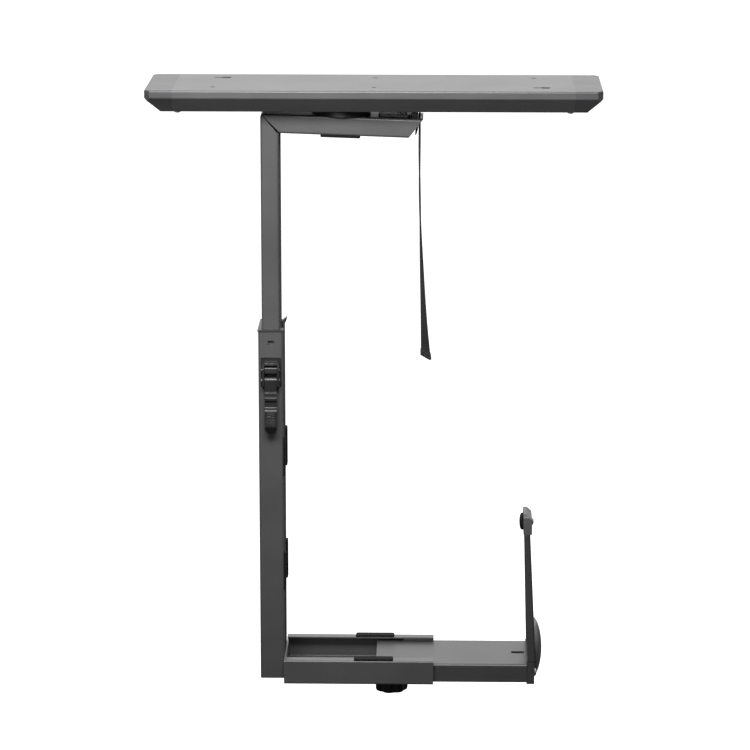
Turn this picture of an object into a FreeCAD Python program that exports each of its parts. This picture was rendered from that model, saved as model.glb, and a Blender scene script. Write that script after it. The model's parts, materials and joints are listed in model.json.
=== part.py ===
import FreeCAD, Part
import math
import os
import Sketcher
from FreeCAD import Placement, Rotation, Vector

# Under-desk computer holder: a slotted rail screws to the underside of a desk, a carriage slides
# in it, a swivel hangs an angled channel from the carriage, and an L-shaped lower frame slides on
# that channel. A tray slides out of the base and carries the clamp arm.
# Frame: origin at the centre of the rail's top face, +X right along the rail, +Z up, millimetres.

doc = FreeCAD.newDocument("cpu_holder")

DRIVING_SIZES = {
    # rail
    "rail_length": 390,
    "rail_width": 116.8,
    "rail_side": 7.8,
    "rail_bevel": 14.9,
    "rail_sheet": 1.6,
    "rail_slot": 64,
    "cap_length": 27,
    "cap_plug": 8,
    "cap_corner": 5,
    "cap_wall": 2.2,
    "fixing_pitch_x": 314,
    "fixing_pitch_y": 66,
    "fixing_hole": 5,
    "keyhole_head": 10,
    "keyhole_shift": 9.5,
    # carriage and swivel
    "carriage_x": -32.5,
    "carriage_length": 100,
    "carriage_width": 80,
    "carriage_sheet": 2.5,
    "carriage_top": -14.9,
    "shoe_height": 3.4,
    "swivel_diameter": 56,
    "hub_diameter": 58,
    "pivot_diameter": 12,
    "running_gap": 0.08,
    "face_gap": 0.3,
    "hub_top": -24.9,
    # upper bracket
    "channel_width": 46,
    "channel_depth": 18,
    "channel_sheet": 2,
    "channel_mouth": 26,
    "channel_bend": 2.2,
    "upright_left": -111.5,
    "upright_bottom": -400,
    "arm_right": 48,
    "arm_height_at_pivot": -30.3,
    "arm_fall": 0.0336,
    "arm_depth": 18.8,
    "arm_end_slant": 14.3,
    "mitre_gap": 2.6,
    # lower frame
    "frame_bottom": -604,
    "sleeve_left": -115,
    "sleeve_depth": 24.5,
    "sleeve_width": 53,
    "sleeve_top": -245,
    "sleeve_sheet": 1.8,
    "sleeve_lip": 10.5,
    "liner_bottom": -330,
    "collar_height": 1.8,
    "collar_overhang": 0.6,
    "hook_rise": 4.7,
    "window_top": -271.3,
    "window_height": 30.2,
    "base_width": 92,
    "base_height": 24.8,
    "base_right": 60,
    "base_sheet": 1.5,
    "base_lip": 11.5,
    "pad_thickness": 2,
    # extension and clamp arm
    "tray_left": 2,
    "tray_right": 154,
    "tray_width": 82,
    "tray_top": -583.4,
    "tray_sheet": 1.8,
    "travel": 79,
    "clamp_top": -433.7,
    "clamp_base_width": 84,
    "clamp_top_width": 36,
    "clamp_sheet": 1.8,
    "clamp_depth_low": 8.7,
    "clamp_depth_high": 5.3,
    "clamp_inner_low": 155.4,
    "clamp_inner_high": 150.6,
    "knob_diameter": 33.5,
    "knob_height": 17.3,
    "stud_diameter": 8,
    "knob_x": 17,
    # lever lock
    "lock_x": -102.25,
    "lever_width": 12,
    "lock_half_width": 8.4,
    "lock_headroom": 4.2,
    "lever_pin_y": -31.5,
    "lever_pin_z": -293.4,
    "rocker_pin_y": -29.2,
    "rocker_pin_z": -283.5,
    # strap
    "strap_width": 25,
    "strap_thickness": 1.8,
    "strap_top": -29,
    "strap_bottom": -276,
    "strap_x": 44.5,
    "strap_drift": 7.5,
}

BEND = math.tan(math.radians(22.5))  # offset of a 45-degree bend's corner, per unit of sheet
BEND_INSIDE = 0.8  # corner radius of the pieces that sit inside a folded channel


class Size:
    """A length known both as a number and as the spreadsheet expression that gives it."""

    def __init__(self, value, text):
        self.value = value
        self.text = text

    def join(self, other, sign, value):
        other_text = other.text if isinstance(other, Size) else repr(float(other))
        return Size(value, f"({self.text} {sign} {other_text})")

    def __add__(self, other):
        return self.join(other, "+", self.value + number(other))

    def __sub__(self, other):
        return self.join(other, "-", self.value - number(other))

    def __mul__(self, other):
        return self.join(other, "*", self.value * number(other))

    def __truediv__(self, other):
        return self.join(other, "/", self.value / number(other))

    def __neg__(self):
        return Size(-self.value, f"(0 - {self.text})")

    def __radd__(self, other):
        return self + other

    def __rmul__(self, other):
        return self * other

    def __rsub__(self, other):
        return -self + other


def number(size):
    return size.value if isinstance(size, Size) else float(size)


class SizeSheet:
    """The driving sizes, read as attributes."""

    def __init__(self, sizes):
        cells = doc.addObject("Spreadsheet::Sheet", "Sizes")
        for row, (alias, value) in enumerate(sizes.items(), start=1):
            cells.set(f"A{row}", alias)
            cells.set(f"B{row}", str(value))
            cells.setAlias(f"B{row}", alias)
            setattr(self, alias, Size(float(value), f"Sizes.{alias}"))
        doc.recompute()


S = SizeSheet(DRIVING_SIZES)


def bind(item, name, size):
    """Set a property, and bind it to its spreadsheet expression where it has one."""
    if isinstance(size, Size):
        item.setExpression(name, size.text)
    elif "." not in name:
        setattr(item, name, size)


def place(item, x=0, y=0, z=0, axis=None, angle=0):
    """Move a sub-part to (x, y, z), turned by angle degrees about axis."""
    turn = Rotation(axis, angle) if axis else Rotation()
    item.Placement = Placement(Vector(number(x), number(y), number(z)), turn)
    bind(item, "Placement.Base.x", x)
    bind(item, "Placement.Base.y", y)
    bind(item, "Placement.Base.z", z)
    return item


# Sketches and features


def new_body(label):
    body = doc.addObject("PartDesign::Body", label)
    body.Label = label
    return body


def new_sketch(body, plane, offset=0):
    """A sketch on one of the body's own planes, moved along the plane's normal."""
    sketch = body.newObject("Sketcher::SketchObject", "Sketch")
    planes = [f for f in body.Origin.OriginFeatures if f.Role == plane]
    sketch.AttachmentSupport = [(planes[0], "")]
    sketch.MapMode = "FlatFace"
    sketch.AttachmentOffset = Placement(Vector(0, 0, number(offset)), Rotation())
    bind(sketch, "AttachmentOffset.Base.z", offset)
    return sketch


def fix_point(sketch, geometry, position, u, v):
    """Hold a sketch point at (u, v) with two dimensions."""
    for kind, size in (("DistanceX", u), ("DistanceY", v)):
        rule = Sketcher.Constraint(kind, -1, 1, geometry, position, number(size))
        index = sketch.addConstraint(rule)
        if isinstance(size, Size):
            bind(sketch, f"Constraints[{index}]", size)


def add_radius(sketch, geometry, radius):
    index = sketch.addConstraint(Sketcher.Constraint("Radius", geometry, number(radius)))
    if isinstance(radius, Size):
        bind(sketch, f"Constraints[{index}]", radius)


def circle(sketch, u, v, radius):
    centre = Vector(number(u), number(v), 0)
    ring = sketch.addGeometry(Part.Circle(centre, Vector(0, 0, 1), number(radius)))
    fix_point(sketch, ring, 3, u, v)
    add_radius(sketch, ring, radius)


def rounded_corner(point, before, after, radius):
    """Where a corner's arc starts and ends, and its centre."""
    back = (before - point).normalize()
    ahead = (after - point).normalize()
    half = back.getAngle(ahead) / 2
    reach = radius / math.tan(half)
    centre = point + (back + ahead).normalize() * (radius / math.sin(half))
    return point + back * reach, point + ahead * reach, centre


def heading(vector):
    return math.atan2(vector.y, vector.x)


def outline(sketch, corners):
    """A closed outline of (u, v) or (u, v, corner radius), each corner held by dimensions."""
    count = len(corners)
    points = [Vector(number(c[0]), number(c[1]), 0) for c in corners]
    arcs = []
    for i, corner in enumerate(corners):
        if len(corner) > 2:
            near = (points[i], points[i - 1], points[(i + 1) % count])
            arcs.append(rounded_corner(*near, number(corner[2])))
        else:
            arcs.append((points[i], points[i], None))
    lines = []
    for i in range(count):
        line = Part.LineSegment(arcs[i][1], arcs[(i + 1) % count][0])
        lines.append(sketch.addGeometry(line))
    for i, corner in enumerate(corners):
        before, after = lines[i - 1], lines[i]
        if len(corner) == 2:
            sketch.addConstraint(Sketcher.Constraint("Coincident", before, 2, after, 1))
            fix_point(sketch, after, 1, corner[0], corner[1])
            continue
        start, end, centre = arcs[i]
        turn = (points[i] - points[i - 1]).cross(points[(i + 1) % count] - points[i]).z
        first, last = (start, end) if turn > 0 else (end, start)
        ring = Part.Circle(centre, Vector(0, 0, 1), number(corner[2]))
        span = Part.ArcOfCircle(ring, heading(first - centre), heading(last - centre))
        arc = sketch.addGeometry(span)
        enter, leave = (1, 2) if turn > 0 else (2, 1)
        sketch.addConstraint(Sketcher.Constraint("Tangent", before, 2, arc, enter))
        sketch.addConstraint(Sketcher.Constraint("Tangent", arc, leave, after, 1))
        add_radius(sketch, arc, corner[2])
        apex = sketch.addGeometry(Part.Point(points[i]), True)
        sketch.addConstraint(Sketcher.Constraint("PointOnObject", apex, 1, before))
        sketch.addConstraint(Sketcher.Constraint("PointOnObject", apex, 1, after))
        fix_point(sketch, apex, 1, corner[0], corner[1])


def rectangle(u_low, v_low, u_high, v_high, radius=None):
    corners = [(u_low, v_low), (u_high, v_low), (u_high, v_high), (u_low, v_high)]
    return [(u, v, radius) for u, v in corners] if radius else corners


def negative(size):
    return -size


def both_sides(corners):
    """An outline's right half followed by its mirror image across the v axis."""
    return corners + [(negative(c[0]), *c[1:]) for c in reversed(corners)]


def pad(body, sketch, length, symmetric=False, backwards=False):
    feature = body.newObject("PartDesign::Pad", "Pad")
    feature.Profile = sketch
    feature.SideType = "Symmetric" if symmetric else "One side"
    feature.Reversed = backwards
    bind(feature, "Length", length)
    doc.recompute()
    return feature


def pocket(body, sketch, depth, symmetric=True, backwards=False):
    """Cut a sketch out of the body, and stop if nothing was cut."""
    full = body.Shape.Volume
    feature = body.newObject("PartDesign::Pocket", "Pocket")
    feature.Profile = sketch
    feature.SideType = "Symmetric" if symmetric else "One side"
    feature.Reversed = backwards
    bind(feature, "Length", depth)
    doc.recompute()
    if body.Shape.Volume > full - 0.01:
        raise RuntimeError(f"a pocket in {body.Label} removes nothing")
    return feature


def round_edges(body, radius, chosen):
    """Fillet the edges of the body that chosen(edge) picks."""
    tip = body.Tip
    names = [f"Edge{i}" for i, e in enumerate(tip.Shape.Edges, start=1) if chosen(e)]
    if not names:
        raise RuntimeError(f"no edge to round on {body.Label}")
    fillet = body.newObject("PartDesign::Fillet", "Fillet")
    fillet.Base = (tip, names)
    bind(fillet, "Radius", radius)
    doc.recompute()
    return fillet


def level(edge, z):
    """True where both of an edge's ends lie at the height z."""
    return all(abs(v.Z - number(z)) < 0.01 for v in edge.Vertexes)


def prism(label, plane, corners, length, offset=0, symmetric=False, backwards=False):
    body = new_body(label)
    sketch = new_sketch(body, plane, offset)
    outline(sketch, corners)
    pad(body, sketch, length, symmetric, backwards)
    return body


def turned(label, corners):
    """A solid turned about Z from an outline of (radius, height) corners."""
    body = new_body(label)
    sketch = new_sketch(body, "XZ_Plane")
    outline(sketch, corners)
    feature = body.newObject("PartDesign::Revolution", "Revolution")
    feature.Profile = sketch
    feature.ReferenceAxis = (sketch, ["V_Axis"])
    feature.Angle = 360
    doc.recompute()
    return body


def cut_holes(body, plane, holes, depth, offset=0):
    """Round holes of (u, v, radius), cut both ways from a plane."""
    sketch = new_sketch(body, plane, offset)
    for u, v, radius in holes:
        circle(sketch, u, v, radius)
    return pocket(body, sketch, depth)


def cut_outline(body, plane, corners, depth, offset=0):
    sketch = new_sketch(body, plane, offset)
    outline(sketch, corners)
    return pocket(body, sketch, depth)


def group(label, members):
    """Several separate solids that make one sub-part."""
    compound = doc.addObject("Part::Compound", label)
    compound.Links = members
    compound.Label = label
    doc.recompute()
    return compound


def ring(label, inner, outer, low, high):
    return turned(label, [(inner, low), (outer, low), (outer, high), (inner, high)])


# Rail


RAIL_DEPTH = S.rail_side + S.rail_bevel


def rail_skin(inset, radius):
    """Half of the rail's outer outline, set in by a distance."""
    half = S.rail_width / 2
    return [
        (half - inset, -inset, radius),
        (half - inset, inset * BEND - S.rail_side, radius),
        (half - S.rail_bevel - inset * BEND, inset - RAIL_DEPTH, radius),
    ]


def make_rail():
    sheet = S.rail_sheet
    outer = rail_skin(sheet * 0, 1.8)
    inner = list(reversed(rail_skin(sheet, 0.5)))
    lip = S.rail_slot / 2
    half = outer + [(lip, -RAIL_DEPTH), (lip, sheet - RAIL_DEPTH)] + inner
    body = prism("rail", "YZ_Plane", both_sides(half), S.rail_length, symmetric=True)
    reach_x = S.fixing_pitch_x / 2
    reach_y = S.fixing_pitch_y / 2
    screw = S.fixing_hole / 2
    through = sheet * 3
    spots = [(side * 1.0, end) for side in (-1, 0, 1) for end in (-1, 1)]
    cut_holes(body, "XY_Plane", [(reach_x * a, reach_y * b, screw) for a, b in spots], through)
    for end in (-1, 1):
        far = reach_x * end + S.keyhole_shift
        back = reach_y * -end
        entry = [(far, back, S.keyhole_head / 2)]
        cut_holes(body, "XY_Plane", entry, through)
        throat = rectangle(reach_x * end, back - screw, far, back + screw)
        cut_outline(body, "XY_Plane", throat, through)
    lip_screws = [(CAP_SCREW_X * a, CAP_SCREW_Y * b, 1.7) for a in (-1, 1) for b in (-1, 1)]
    cut_holes(body, "XY_Plane", lip_screws, sheet * 3, offset=-RAIL_DEPTH)
    return body


CAP_SCREW_X = S.rail_length / 2 - S.cap_plug / 2
CAP_SCREW_Y = S.rail_slot / 2 + 6


def make_end_cap(label, angle):
    """A moulded cap whose end slopes in below, with a hollow plug that fills the rail's end."""
    start = S.rail_length / 2
    body = prism(label, "YZ_Plane", both_sides(rail_skin(S.rail_sheet * 0, 1.8)), S.cap_length, start)
    end = start + S.cap_length
    half = S.rail_width / 2
    slope = [(end + 1, -S.rail_side), (end, -S.rail_side)]
    slope += [(end - S.rail_bevel, -RAIL_DEPTH), (end - S.rail_bevel, -RAIL_DEPTH - 1)]
    slope += [(end + 1, -RAIL_DEPTH - 1)]
    cut_outline(body, "XZ_Plane", slope, S.rail_width * 1.1)
    for side in (-1, 1):
        corner = [(end - S.cap_corner, half * side), (end, (half - S.cap_corner) * side)]
        corner += [(end + 1, (half - S.cap_corner) * side), (end + 1, (half + 1) * side)]
        corner += [(end - S.cap_corner, (half + 1) * side)]
        cut_outline(body, "XY_Plane", corner, RAIL_DEPTH * 3)
    plug_inset = S.rail_sheet + 0.2
    plug = new_sketch(body, "YZ_Plane", start)
    outline(plug, both_sides(rail_skin(plug_inset, 0.8)))
    pad(body, plug, S.cap_plug, backwards=True)
    hollow = new_sketch(body, "YZ_Plane", start)
    outline(hollow, both_sides(rail_skin(plug_inset + S.cap_wall, 0.5)))
    pocket(body, hollow, S.cap_plug * 2)
    holes = [(CAP_SCREW_X, CAP_SCREW_Y, 1.6), (CAP_SCREW_X, -CAP_SCREW_Y, 1.6)]
    cut_holes(body, "XY_Plane", holes, S.cap_wall * 4, offset=-RAIL_DEPTH)

    def outer_rim(edge):
        return level(edge, 0) and min(v.X for v in edge.Vertexes) > number(end) - 6

    round_edges(body, 1.2, outer_rim)
    return place(body, axis=Vector(0, 0, 1), angle=angle)


def pan_screw(label, head, shank, head_height, length):
    """A pan-head screw with its head below and its shank up, head face at z = 0."""
    profile = [(0, -head_height), (head * 0.6, -head_height), (head, -head_height * 0.4)]
    profile += [(head, 0), (shank, 0), (shank, length), (0, length)]
    body = turned(label, profile)
    slot = rectangle(-head * 0.62, -0.45, head * 0.62, 0.45)
    cross = rectangle(-0.45, -head * 0.62, 0.45, head * 0.62)
    cut_outline(body, "XY_Plane", slot, head_height * 1.1, offset=-head_height)
    cut_outline(body, "XY_Plane", cross, head_height * 1.1, offset=-head_height)
    return body


def make_cap_screws():
    screws = []
    for a in (-1, 1):
        for b in (-1, 1):
            screw = pan_screw("cap_screw", 3.2, 1.5, 1.6, 4.2)
            screws.append(place(screw, CAP_SCREW_X * a, CAP_SCREW_Y * b, -RAIL_DEPTH))
    return group("cap_screws", screws)


BUMPER_LENGTH = 4


def make_stop_bumpers():
    bumpers = []
    floor = S.rail_sheet - RAIL_DEPTH
    for a in (-1, 1):
        for b in (-1, 1):
            face = (S.rail_length / 2 - S.cap_plug) * a
            inner = face - BUMPER_LENGTH * a
            low, high = (inner, face) if a > 0 else (face, inner)
            corners = rectangle(low, CAP_SCREW_Y * b - 4, high, CAP_SCREW_Y * b + 4)
            bumper = prism("stop_bumper", "XY_Plane", corners, 6, floor)
            bumpers.append(bumper)
    return group("stop_bumpers", bumpers)


# Carriage and swivel, built about the pivot and moved to the carriage's place


PLATE_BOTTOM = S.carriage_top - S.carriage_sheet
SHOE_X = S.carriage_length / 2 - 12
SHOE_Y = S.carriage_width / 2 - 2.2
RIVET_PLACES = [(18, 0), (0, 18), (-18, 0), (0, -18)]
PIVOT = S.pivot_diameter / 2
RACE_BOTTOM = -RAIL_DEPTH - 0.5


def make_carriage_plate():
    length = S.carriage_length / 2
    width = S.carriage_width / 2
    body = prism(
        "carriage_plate",
        "XY_Plane",
        rectangle(-length, -width, length, width, 5),
        S.carriage_sheet,
        PLATE_BOTTOM,
    )
    cut_holes(body, "XY_Plane", [(0, 0, PIVOT + 0.1)], 60)
    cut_holes(body, "XY_Plane", [(x, y, 2.6) for x, y in RIVET_PLACES], 60)
    return place(body, S.carriage_x)


def make_glide_shoes():
    shoes = []
    for a in (-1, 1):
        for b in (-1, 1):
            corners = rectangle(-12, -5, 12, 5, 1.5)
            low = PLATE_BOTTOM - S.shoe_height
            shoe = prism("glide_shoe", "XY_Plane", corners, S.shoe_height, low)
            shoes.append(place(shoe, S.carriage_x + SHOE_X * a, SHOE_Y * b))
    return group("glide_shoes", shoes)


def make_top_glides():
    glides = []
    top = -S.rail_sheet - S.face_gap
    for a in (-1, 1):
        for b in (-1, 1):
            profile = [(0, S.carriage_top), (8, S.carriage_top), (8, S.carriage_top + 2)]
            profile += [(5, S.carriage_top + 5), (5, top, 1.2), (0, top)]
            glide = turned("top_glide", profile)
            glides.append(place(glide, S.carriage_x + (SHOE_X - 4) * a, (SHOE_Y - 8) * b))
    return group("top_glides", glides)


def make_swivel_race():
    """A pressed cup whose rim meets the carriage plate and whose floor carries the bearing."""
    outer = S.swivel_diameter / 2
    floor = RACE_BOTTOM + 2
    profile = [(PIVOT + 0.1, RACE_BOTTOM), (outer, RACE_BOTTOM, 1.5), (outer, PLATE_BOTTOM)]
    profile += [(outer - 2, PLATE_BOTTOM), (outer - 2, floor), (PIVOT + 0.1, floor)]
    body = turned("swivel_race", profile)
    cut_holes(body, "XY_Plane", [(x, y, 2.6) for x, y in RIVET_PLACES], 60)
    return place(body, S.carriage_x)


def make_race_rivets():
    rivets = []
    for x, y in RIVET_PLACES:
        low = RACE_BOTTOM + 0.4
        profile = [(0, low), (2.5, low), (2.5, S.carriage_top), (4.5, S.carriage_top)]
        profile += [(3.6, S.carriage_top + 1.6), (0, S.carriage_top + 1.6)]
        rivets.append(place(turned("race_rivet", profile), S.carriage_x + x, y))
    return group("race_rivets", rivets)


def make_swivel_bearing():
    low = S.hub_top + S.face_gap
    body = ring("swivel_bearing", PIVOT + 0.3, S.swivel_diameter / 2 - 0.5, low, RACE_BOTTOM)
    return place(body, S.carriage_x)


SEAT_BOTTOM = S.arm_height_at_pivot - 5.7
WASHER_BOTTOM = SEAT_BOTTOM - S.face_gap - 1.6
NUT_HEIGHT = 8
BOLT_FLATS = 18


def hexagon(across_flats):
    radius = across_flats / math.sqrt(3)
    turns = [math.radians(60 * i) for i in range(6)]
    return [(radius * math.cos(t), radius * math.sin(t)) for t in turns]


def make_pivot_bolt():
    body = prism("pivot_bolt", "XY_Plane", hexagon(BOLT_FLATS), 7, S.carriage_top)
    shank = new_sketch(body, "XY_Plane", S.carriage_top)
    circle(shank, 0, 0, PIVOT)
    length = S.carriage_top - WASHER_BOTTOM + NUT_HEIGHT + 1.5
    pad(body, shank, length, backwards=True)
    return place(body, S.carriage_x)


def make_pivot_washer():
    body = ring("pivot_washer", PIVOT + 0.1, 12, WASHER_BOTTOM, SEAT_BOTTOM - S.face_gap)
    return place(body, S.carriage_x)


def make_pivot_nut():
    body = prism("pivot_nut", "XY_Plane", hexagon(BOLT_FLATS), NUT_HEIGHT, WASHER_BOTTOM - NUT_HEIGHT)
    cut_holes(body, "XY_Plane", [(0, 0, PIVOT)], 200)
    return place(body, S.carriage_x)


# Upper bracket: one folded channel that falls slightly towards its free end


ARM_TILT = math.degrees(math.atan(DRIVING_SIZES["arm_fall"]))
BORE = PIVOT + S.running_gap
UPRIGHT_RIGHT = S.upright_left + S.channel_depth


def arm_top(x):
    """Height of the arm's top face at x."""
    return S.arm_height_at_pivot - S.arm_fall * (x - S.carriage_x)


def on_arm(item, along, across, rise):
    """Place an item in the arm's own sloping frame, whose origin is the pivot on the arm's top."""
    slope = math.radians(ARM_TILT)
    x = S.carriage_x + (along * math.cos(slope) + rise * math.sin(slope))
    z = S.arm_height_at_pivot + (rise * math.cos(slope) - along * math.sin(slope))
    return place(item, x, across, z, Vector(0, 1, 0), ARM_TILT)


def make_swivel_hub():
    """The turning half of the swivel; its underside follows the arm's slope."""
    body = new_body("swivel_hub")
    sketch = new_sketch(body, "XY_Plane", S.hub_top)
    circle(sketch, S.carriage_x, 0, S.hub_diameter / 2)
    pad(body, sketch, 12, backwards=True)
    reach = S.hub_diameter / 2 + 5
    left = S.carriage_x - reach
    right = S.carriage_x + reach
    low = S.hub_top - 20
    under = [(left, low), (right, low), (right, arm_top(right)), (left, arm_top(left))]
    cut_outline(body, "XZ_Plane", under, S.hub_diameter * 1.2)
    cut_holes(body, "XY_Plane", [(S.carriage_x, 0, BORE)], 60, S.hub_top)
    round_edges(body, 1.2, lambda e: level(e, S.hub_top) and e.Length > 100)
    return body


def make_upper_bracket():
    """A lipped channel, bent once, with its mouth to the right and below."""
    sheet = S.channel_sheet
    left = S.upright_left
    right = UPRIGHT_RIGHT
    free = S.arm_right
    under_inner = arm_top(right) - S.arm_depth
    under_free = free - S.arm_end_slant
    side = [
        (left, S.upright_bottom),
        (right, S.upright_bottom),
        (right, under_inner),
        (under_free, arm_top(under_free) - S.arm_depth),
        (free, arm_top(free)),
        (left, arm_top(left), 3.5),
    ]
    body = prism("upper_bracket", "XZ_Plane", side, S.channel_width, symmetric=True)
    beyond = free + 30
    below = S.upright_bottom - 10
    web_side = [
        (beyond, arm_top(beyond) - sheet),
        (left + sheet, arm_top(left + sheet) - sheet, 1.5),
        (left + sheet, below),
    ]
    lip_side = [
        (right - sheet, below),
        (right - sheet, arm_top(right - sheet) - S.arm_depth + sheet),
        (beyond, arm_top(beyond) - S.arm_depth + sheet),
    ]
    cut_outline(body, "XZ_Plane", web_side + lip_side, S.channel_width - sheet * 2)
    cut_outline(body, "XZ_Plane", web_side + [(beyond, below)], S.channel_mouth)
    cut_mitre(body, under_inner)

    def long_bend(edge):
        flank = number(S.channel_width) / 2
        return edge.Length > 60 and all(abs(abs(v.Y) - flank) < 0.01 for v in edge.Vertexes)

    round_edges(body, S.channel_bend, long_bend)
    cut_holes(body, "XY_Plane", [(S.carriage_x, 0, BORE)], 14, S.arm_height_at_pivot)
    strap_holes = [(STRAP_BLOCK_X, STRAP_SCREW_Y * way, 1.5) for way in (-1, 1)]
    cut_holes(body, "XY_Plane", strap_holes, 14, arm_top(free))
    slot = rectangle(S.strap_x - 1.2, -13.2, S.strap_x + 1.2, 13.2)
    cut_outline(body, "XY_Plane", slot, 14, arm_top(free))
    for side_sign in (-1, 1):
        holes = [(x, HUB_SCREW_REACH * side_sign, 2.2) for x in hub_screw_x()]
        cut_holes(body, "XY_Plane", holes, 14, S.arm_height_at_pivot)
    return body


def cut_mitre(body, under_inner):
    """The open joint where the flanges meet at the inside of the bend."""
    step = S.mitre_gap / (2 * math.sqrt(2))
    inner_x = UPRIGHT_RIGHT + 3
    inner_z = under_inner - 3
    outer_x = S.upright_left + S.channel_sheet
    outer_z = arm_top(outer_x) - S.channel_sheet
    notch = [
        (inner_x + step, inner_z + step),
        (outer_x + step, outer_z + step - 1.5),
        (outer_x - step + 1.5, outer_z - step),
        (inner_x - step, inner_z - step),
    ]
    cut_outline(body, "XZ_Plane", notch, S.channel_width * 1.2)


STRAP_BLOCK_X = S.strap_x - 5.2
STRAP_BLOCK_LENGTH = 6.8
STRAP_BLOCK_WIDTH = 31
STRAP_BLOCK_HEIGHT = 6.8
STRAP_SCREW_Y = 9
HUB_SCREW_REACH = S.channel_width * 0.3


def hub_screw_x():
    return [S.carriage_x + HUB_SCREW_REACH * a for a in (-1, 1)]


def make_hub_screws():
    screws = []
    for a in (-1, 1):
        for b in (-1, 1):
            screw = pan_screw("hub_screw", 3.6, 1.9, 2.2, 1.9)
            along = HUB_SCREW_REACH * a
            screws.append(on_arm(screw, along, HUB_SCREW_REACH * b, -S.channel_sheet))
    return group("hub_screws", screws)


def make_hub_seat():
    """A wedge under the arm's web that gives the pivot washer a level seat."""
    body = new_body("hub_seat")
    sketch = new_sketch(body, "XY_Plane", SEAT_BOTTOM)
    circle(sketch, S.carriage_x, 0, 12.5)
    pad(body, sketch, 12)
    left = S.carriage_x - 20
    right = S.carriage_x + 20
    high = S.arm_height_at_pivot + 15
    web = S.channel_sheet
    over = [(left, arm_top(left) - web), (right, arm_top(right) - web), (right, high), (left, high)]
    cut_outline(body, "XZ_Plane", over, 50)
    cut_holes(body, "XY_Plane", [(S.carriage_x, 0, BORE)], 90, SEAT_BOTTOM)
    return body


def make_swivel_latch():
    """A spring plate on the arm beside the hub, which brakes the swivel."""
    long = LATCH_LENGTH / 2
    wide = LATCH_WIDTH / 2
    corners = rectangle(-long, -wide, long, wide, 3)
    body = prism("swivel_latch", "XY_Plane", corners, LATCH_SHEET)
    cut_holes(body, "XY_Plane", [(x, LATCH_RIVET_Y, 1.5) for x in LATCH_RIVETS], 9)
    return on_arm(body, LATCH_ALONG, 0, 0)


LATCH_SHEET = 3
LATCH_LENGTH = 31.4
LATCH_WIDTH = 30
LATCH_ALONG = 52.3
LATCH_RIVETS = (4.7, 9.7)
LATCH_RIVET_Y = -9


def make_latch_rivets():
    rivets = []
    for x in LATCH_RIVETS:
        rivet = dome_rivet("latch_rivet", 1.2, LATCH_SHEET)
        rivets.append(on_arm(rivet, LATCH_ALONG + x, LATCH_RIVET_Y, LATCH_SHEET))
    return group("latch_rivets", rivets)


def make_arm_edge_pads():
    """Rubber strips under the lips of the arm."""
    pads = []
    half = EDGE_PAD_WIDTH / 2
    across = (S.channel_width + S.channel_mouth) / 4 + EDGE_PAD_SHIFT
    for side in (-1, 1):
        section = [(-half, -EDGE_PAD_DEPTH, 0.8), (half, -EDGE_PAD_DEPTH, 0.8), (half, 0), (-half, 0)]
        strip = prism("arm_edge_pad", "YZ_Plane", section, EDGE_PAD_LENGTH, symmetric=True)
        pads.append(on_arm(strip, 0, across * side, -S.arm_depth))
    return group("arm_edge_pads", pads)


EDGE_PAD_WIDTH = 6
EDGE_PAD_DEPTH = 2.6
EDGE_PAD_LENGTH = 39
EDGE_PAD_SHIFT = 0.6


def make_tube_foot():
    """A nylon block that closes the upright's lower end."""
    left = S.upright_left + S.channel_sheet
    half = S.channel_width / 2 - S.channel_sheet
    low = S.upright_bottom
    right = UPRIGHT_RIGHT - S.channel_sheet
    return prism("tube_foot", "XY_Plane", rectangle(left, -half, right, half), 18, low)


def make_strap_clamp():
    """A moulded block over the arm's free end that holds the strap."""
    long = STRAP_BLOCK_LENGTH / 2
    wide = STRAP_BLOCK_WIDTH / 2
    corners = rectangle(-long, -wide, long, wide, 1.2)
    body = prism("strap_clamp", "XY_Plane", corners, STRAP_BLOCK_HEIGHT)
    cut_holes(body, "XY_Plane", [(0, STRAP_SCREW_Y * side, 1.5) for side in (-1, 1)], 8.4)
    return on_arm(body, STRAP_BLOCK_X - S.carriage_x, 0, 0)


def make_strap_screws():
    screws = []
    for side in (-1, 1):
        screw = pan_screw("strap_screw", 3, 1.4, 1.6, 6)
        along = STRAP_BLOCK_X - S.carriage_x
        screws.append(on_arm(screw, along, STRAP_SCREW_Y * side, -S.channel_sheet))
    return group("strap_screws", screws)


def strap_section(x, z, lean, twist):
    """The strap's cross-section: lean turns it from hanging (0) to lying flat (90)."""
    half = number(S.strap_width) / 2
    thin = number(S.strap_thickness) / 2
    corners = []
    for a, b in ((-thin, -half), (thin, -half), (thin, half), (-thin, half)):
        corner = Rotation(Vector(0, 1, 0), -lean).multVec(Vector(a, b, 0))
        corners.append(Vector(x, 0, z) + Rotation(Vector(0, 0, 1), twist).multVec(corner))
    return Part.makePolygon(corners + corners[:1])


STRAP_TWIST = 26  # degrees that the strap has turned at its end


def make_strap():
    """A flat strap that comes over the clamp block, hangs on edge and twists towards its end."""
    top = number(S.strap_top)
    x = number(S.strap_x)
    length = top - number(S.strap_bottom)
    rest = top + 4.4
    sections = [
        strap_section(x - 9.2, rest, 90, 0),
        strap_section(x - 2.2, rest - 0.2, 90, 0),
        strap_section(x - 0.6, rest - 1, 45, 0),
        strap_section(x, rest - 3, 0, 0),
    ]
    for share in (0.2, 0.4, 0.6, 0.8, 1):
        bend = share ** 3
        sideways = number(S.strap_drift) * bend
        height = top - share * length
        sections.append(strap_section(x + sideways, height, 0, STRAP_TWIST * bend))
    strap = doc.addObject("Part::Feature", "strap")
    strap.Label = "strap"
    strap.Shape = Part.makeLoft(sections, True, True)
    return strap


# Lower frame


SLEEVE_RIGHT = S.sleeve_left + S.sleeve_depth
SLEEVE_HALF = S.sleeve_width / 2


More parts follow.
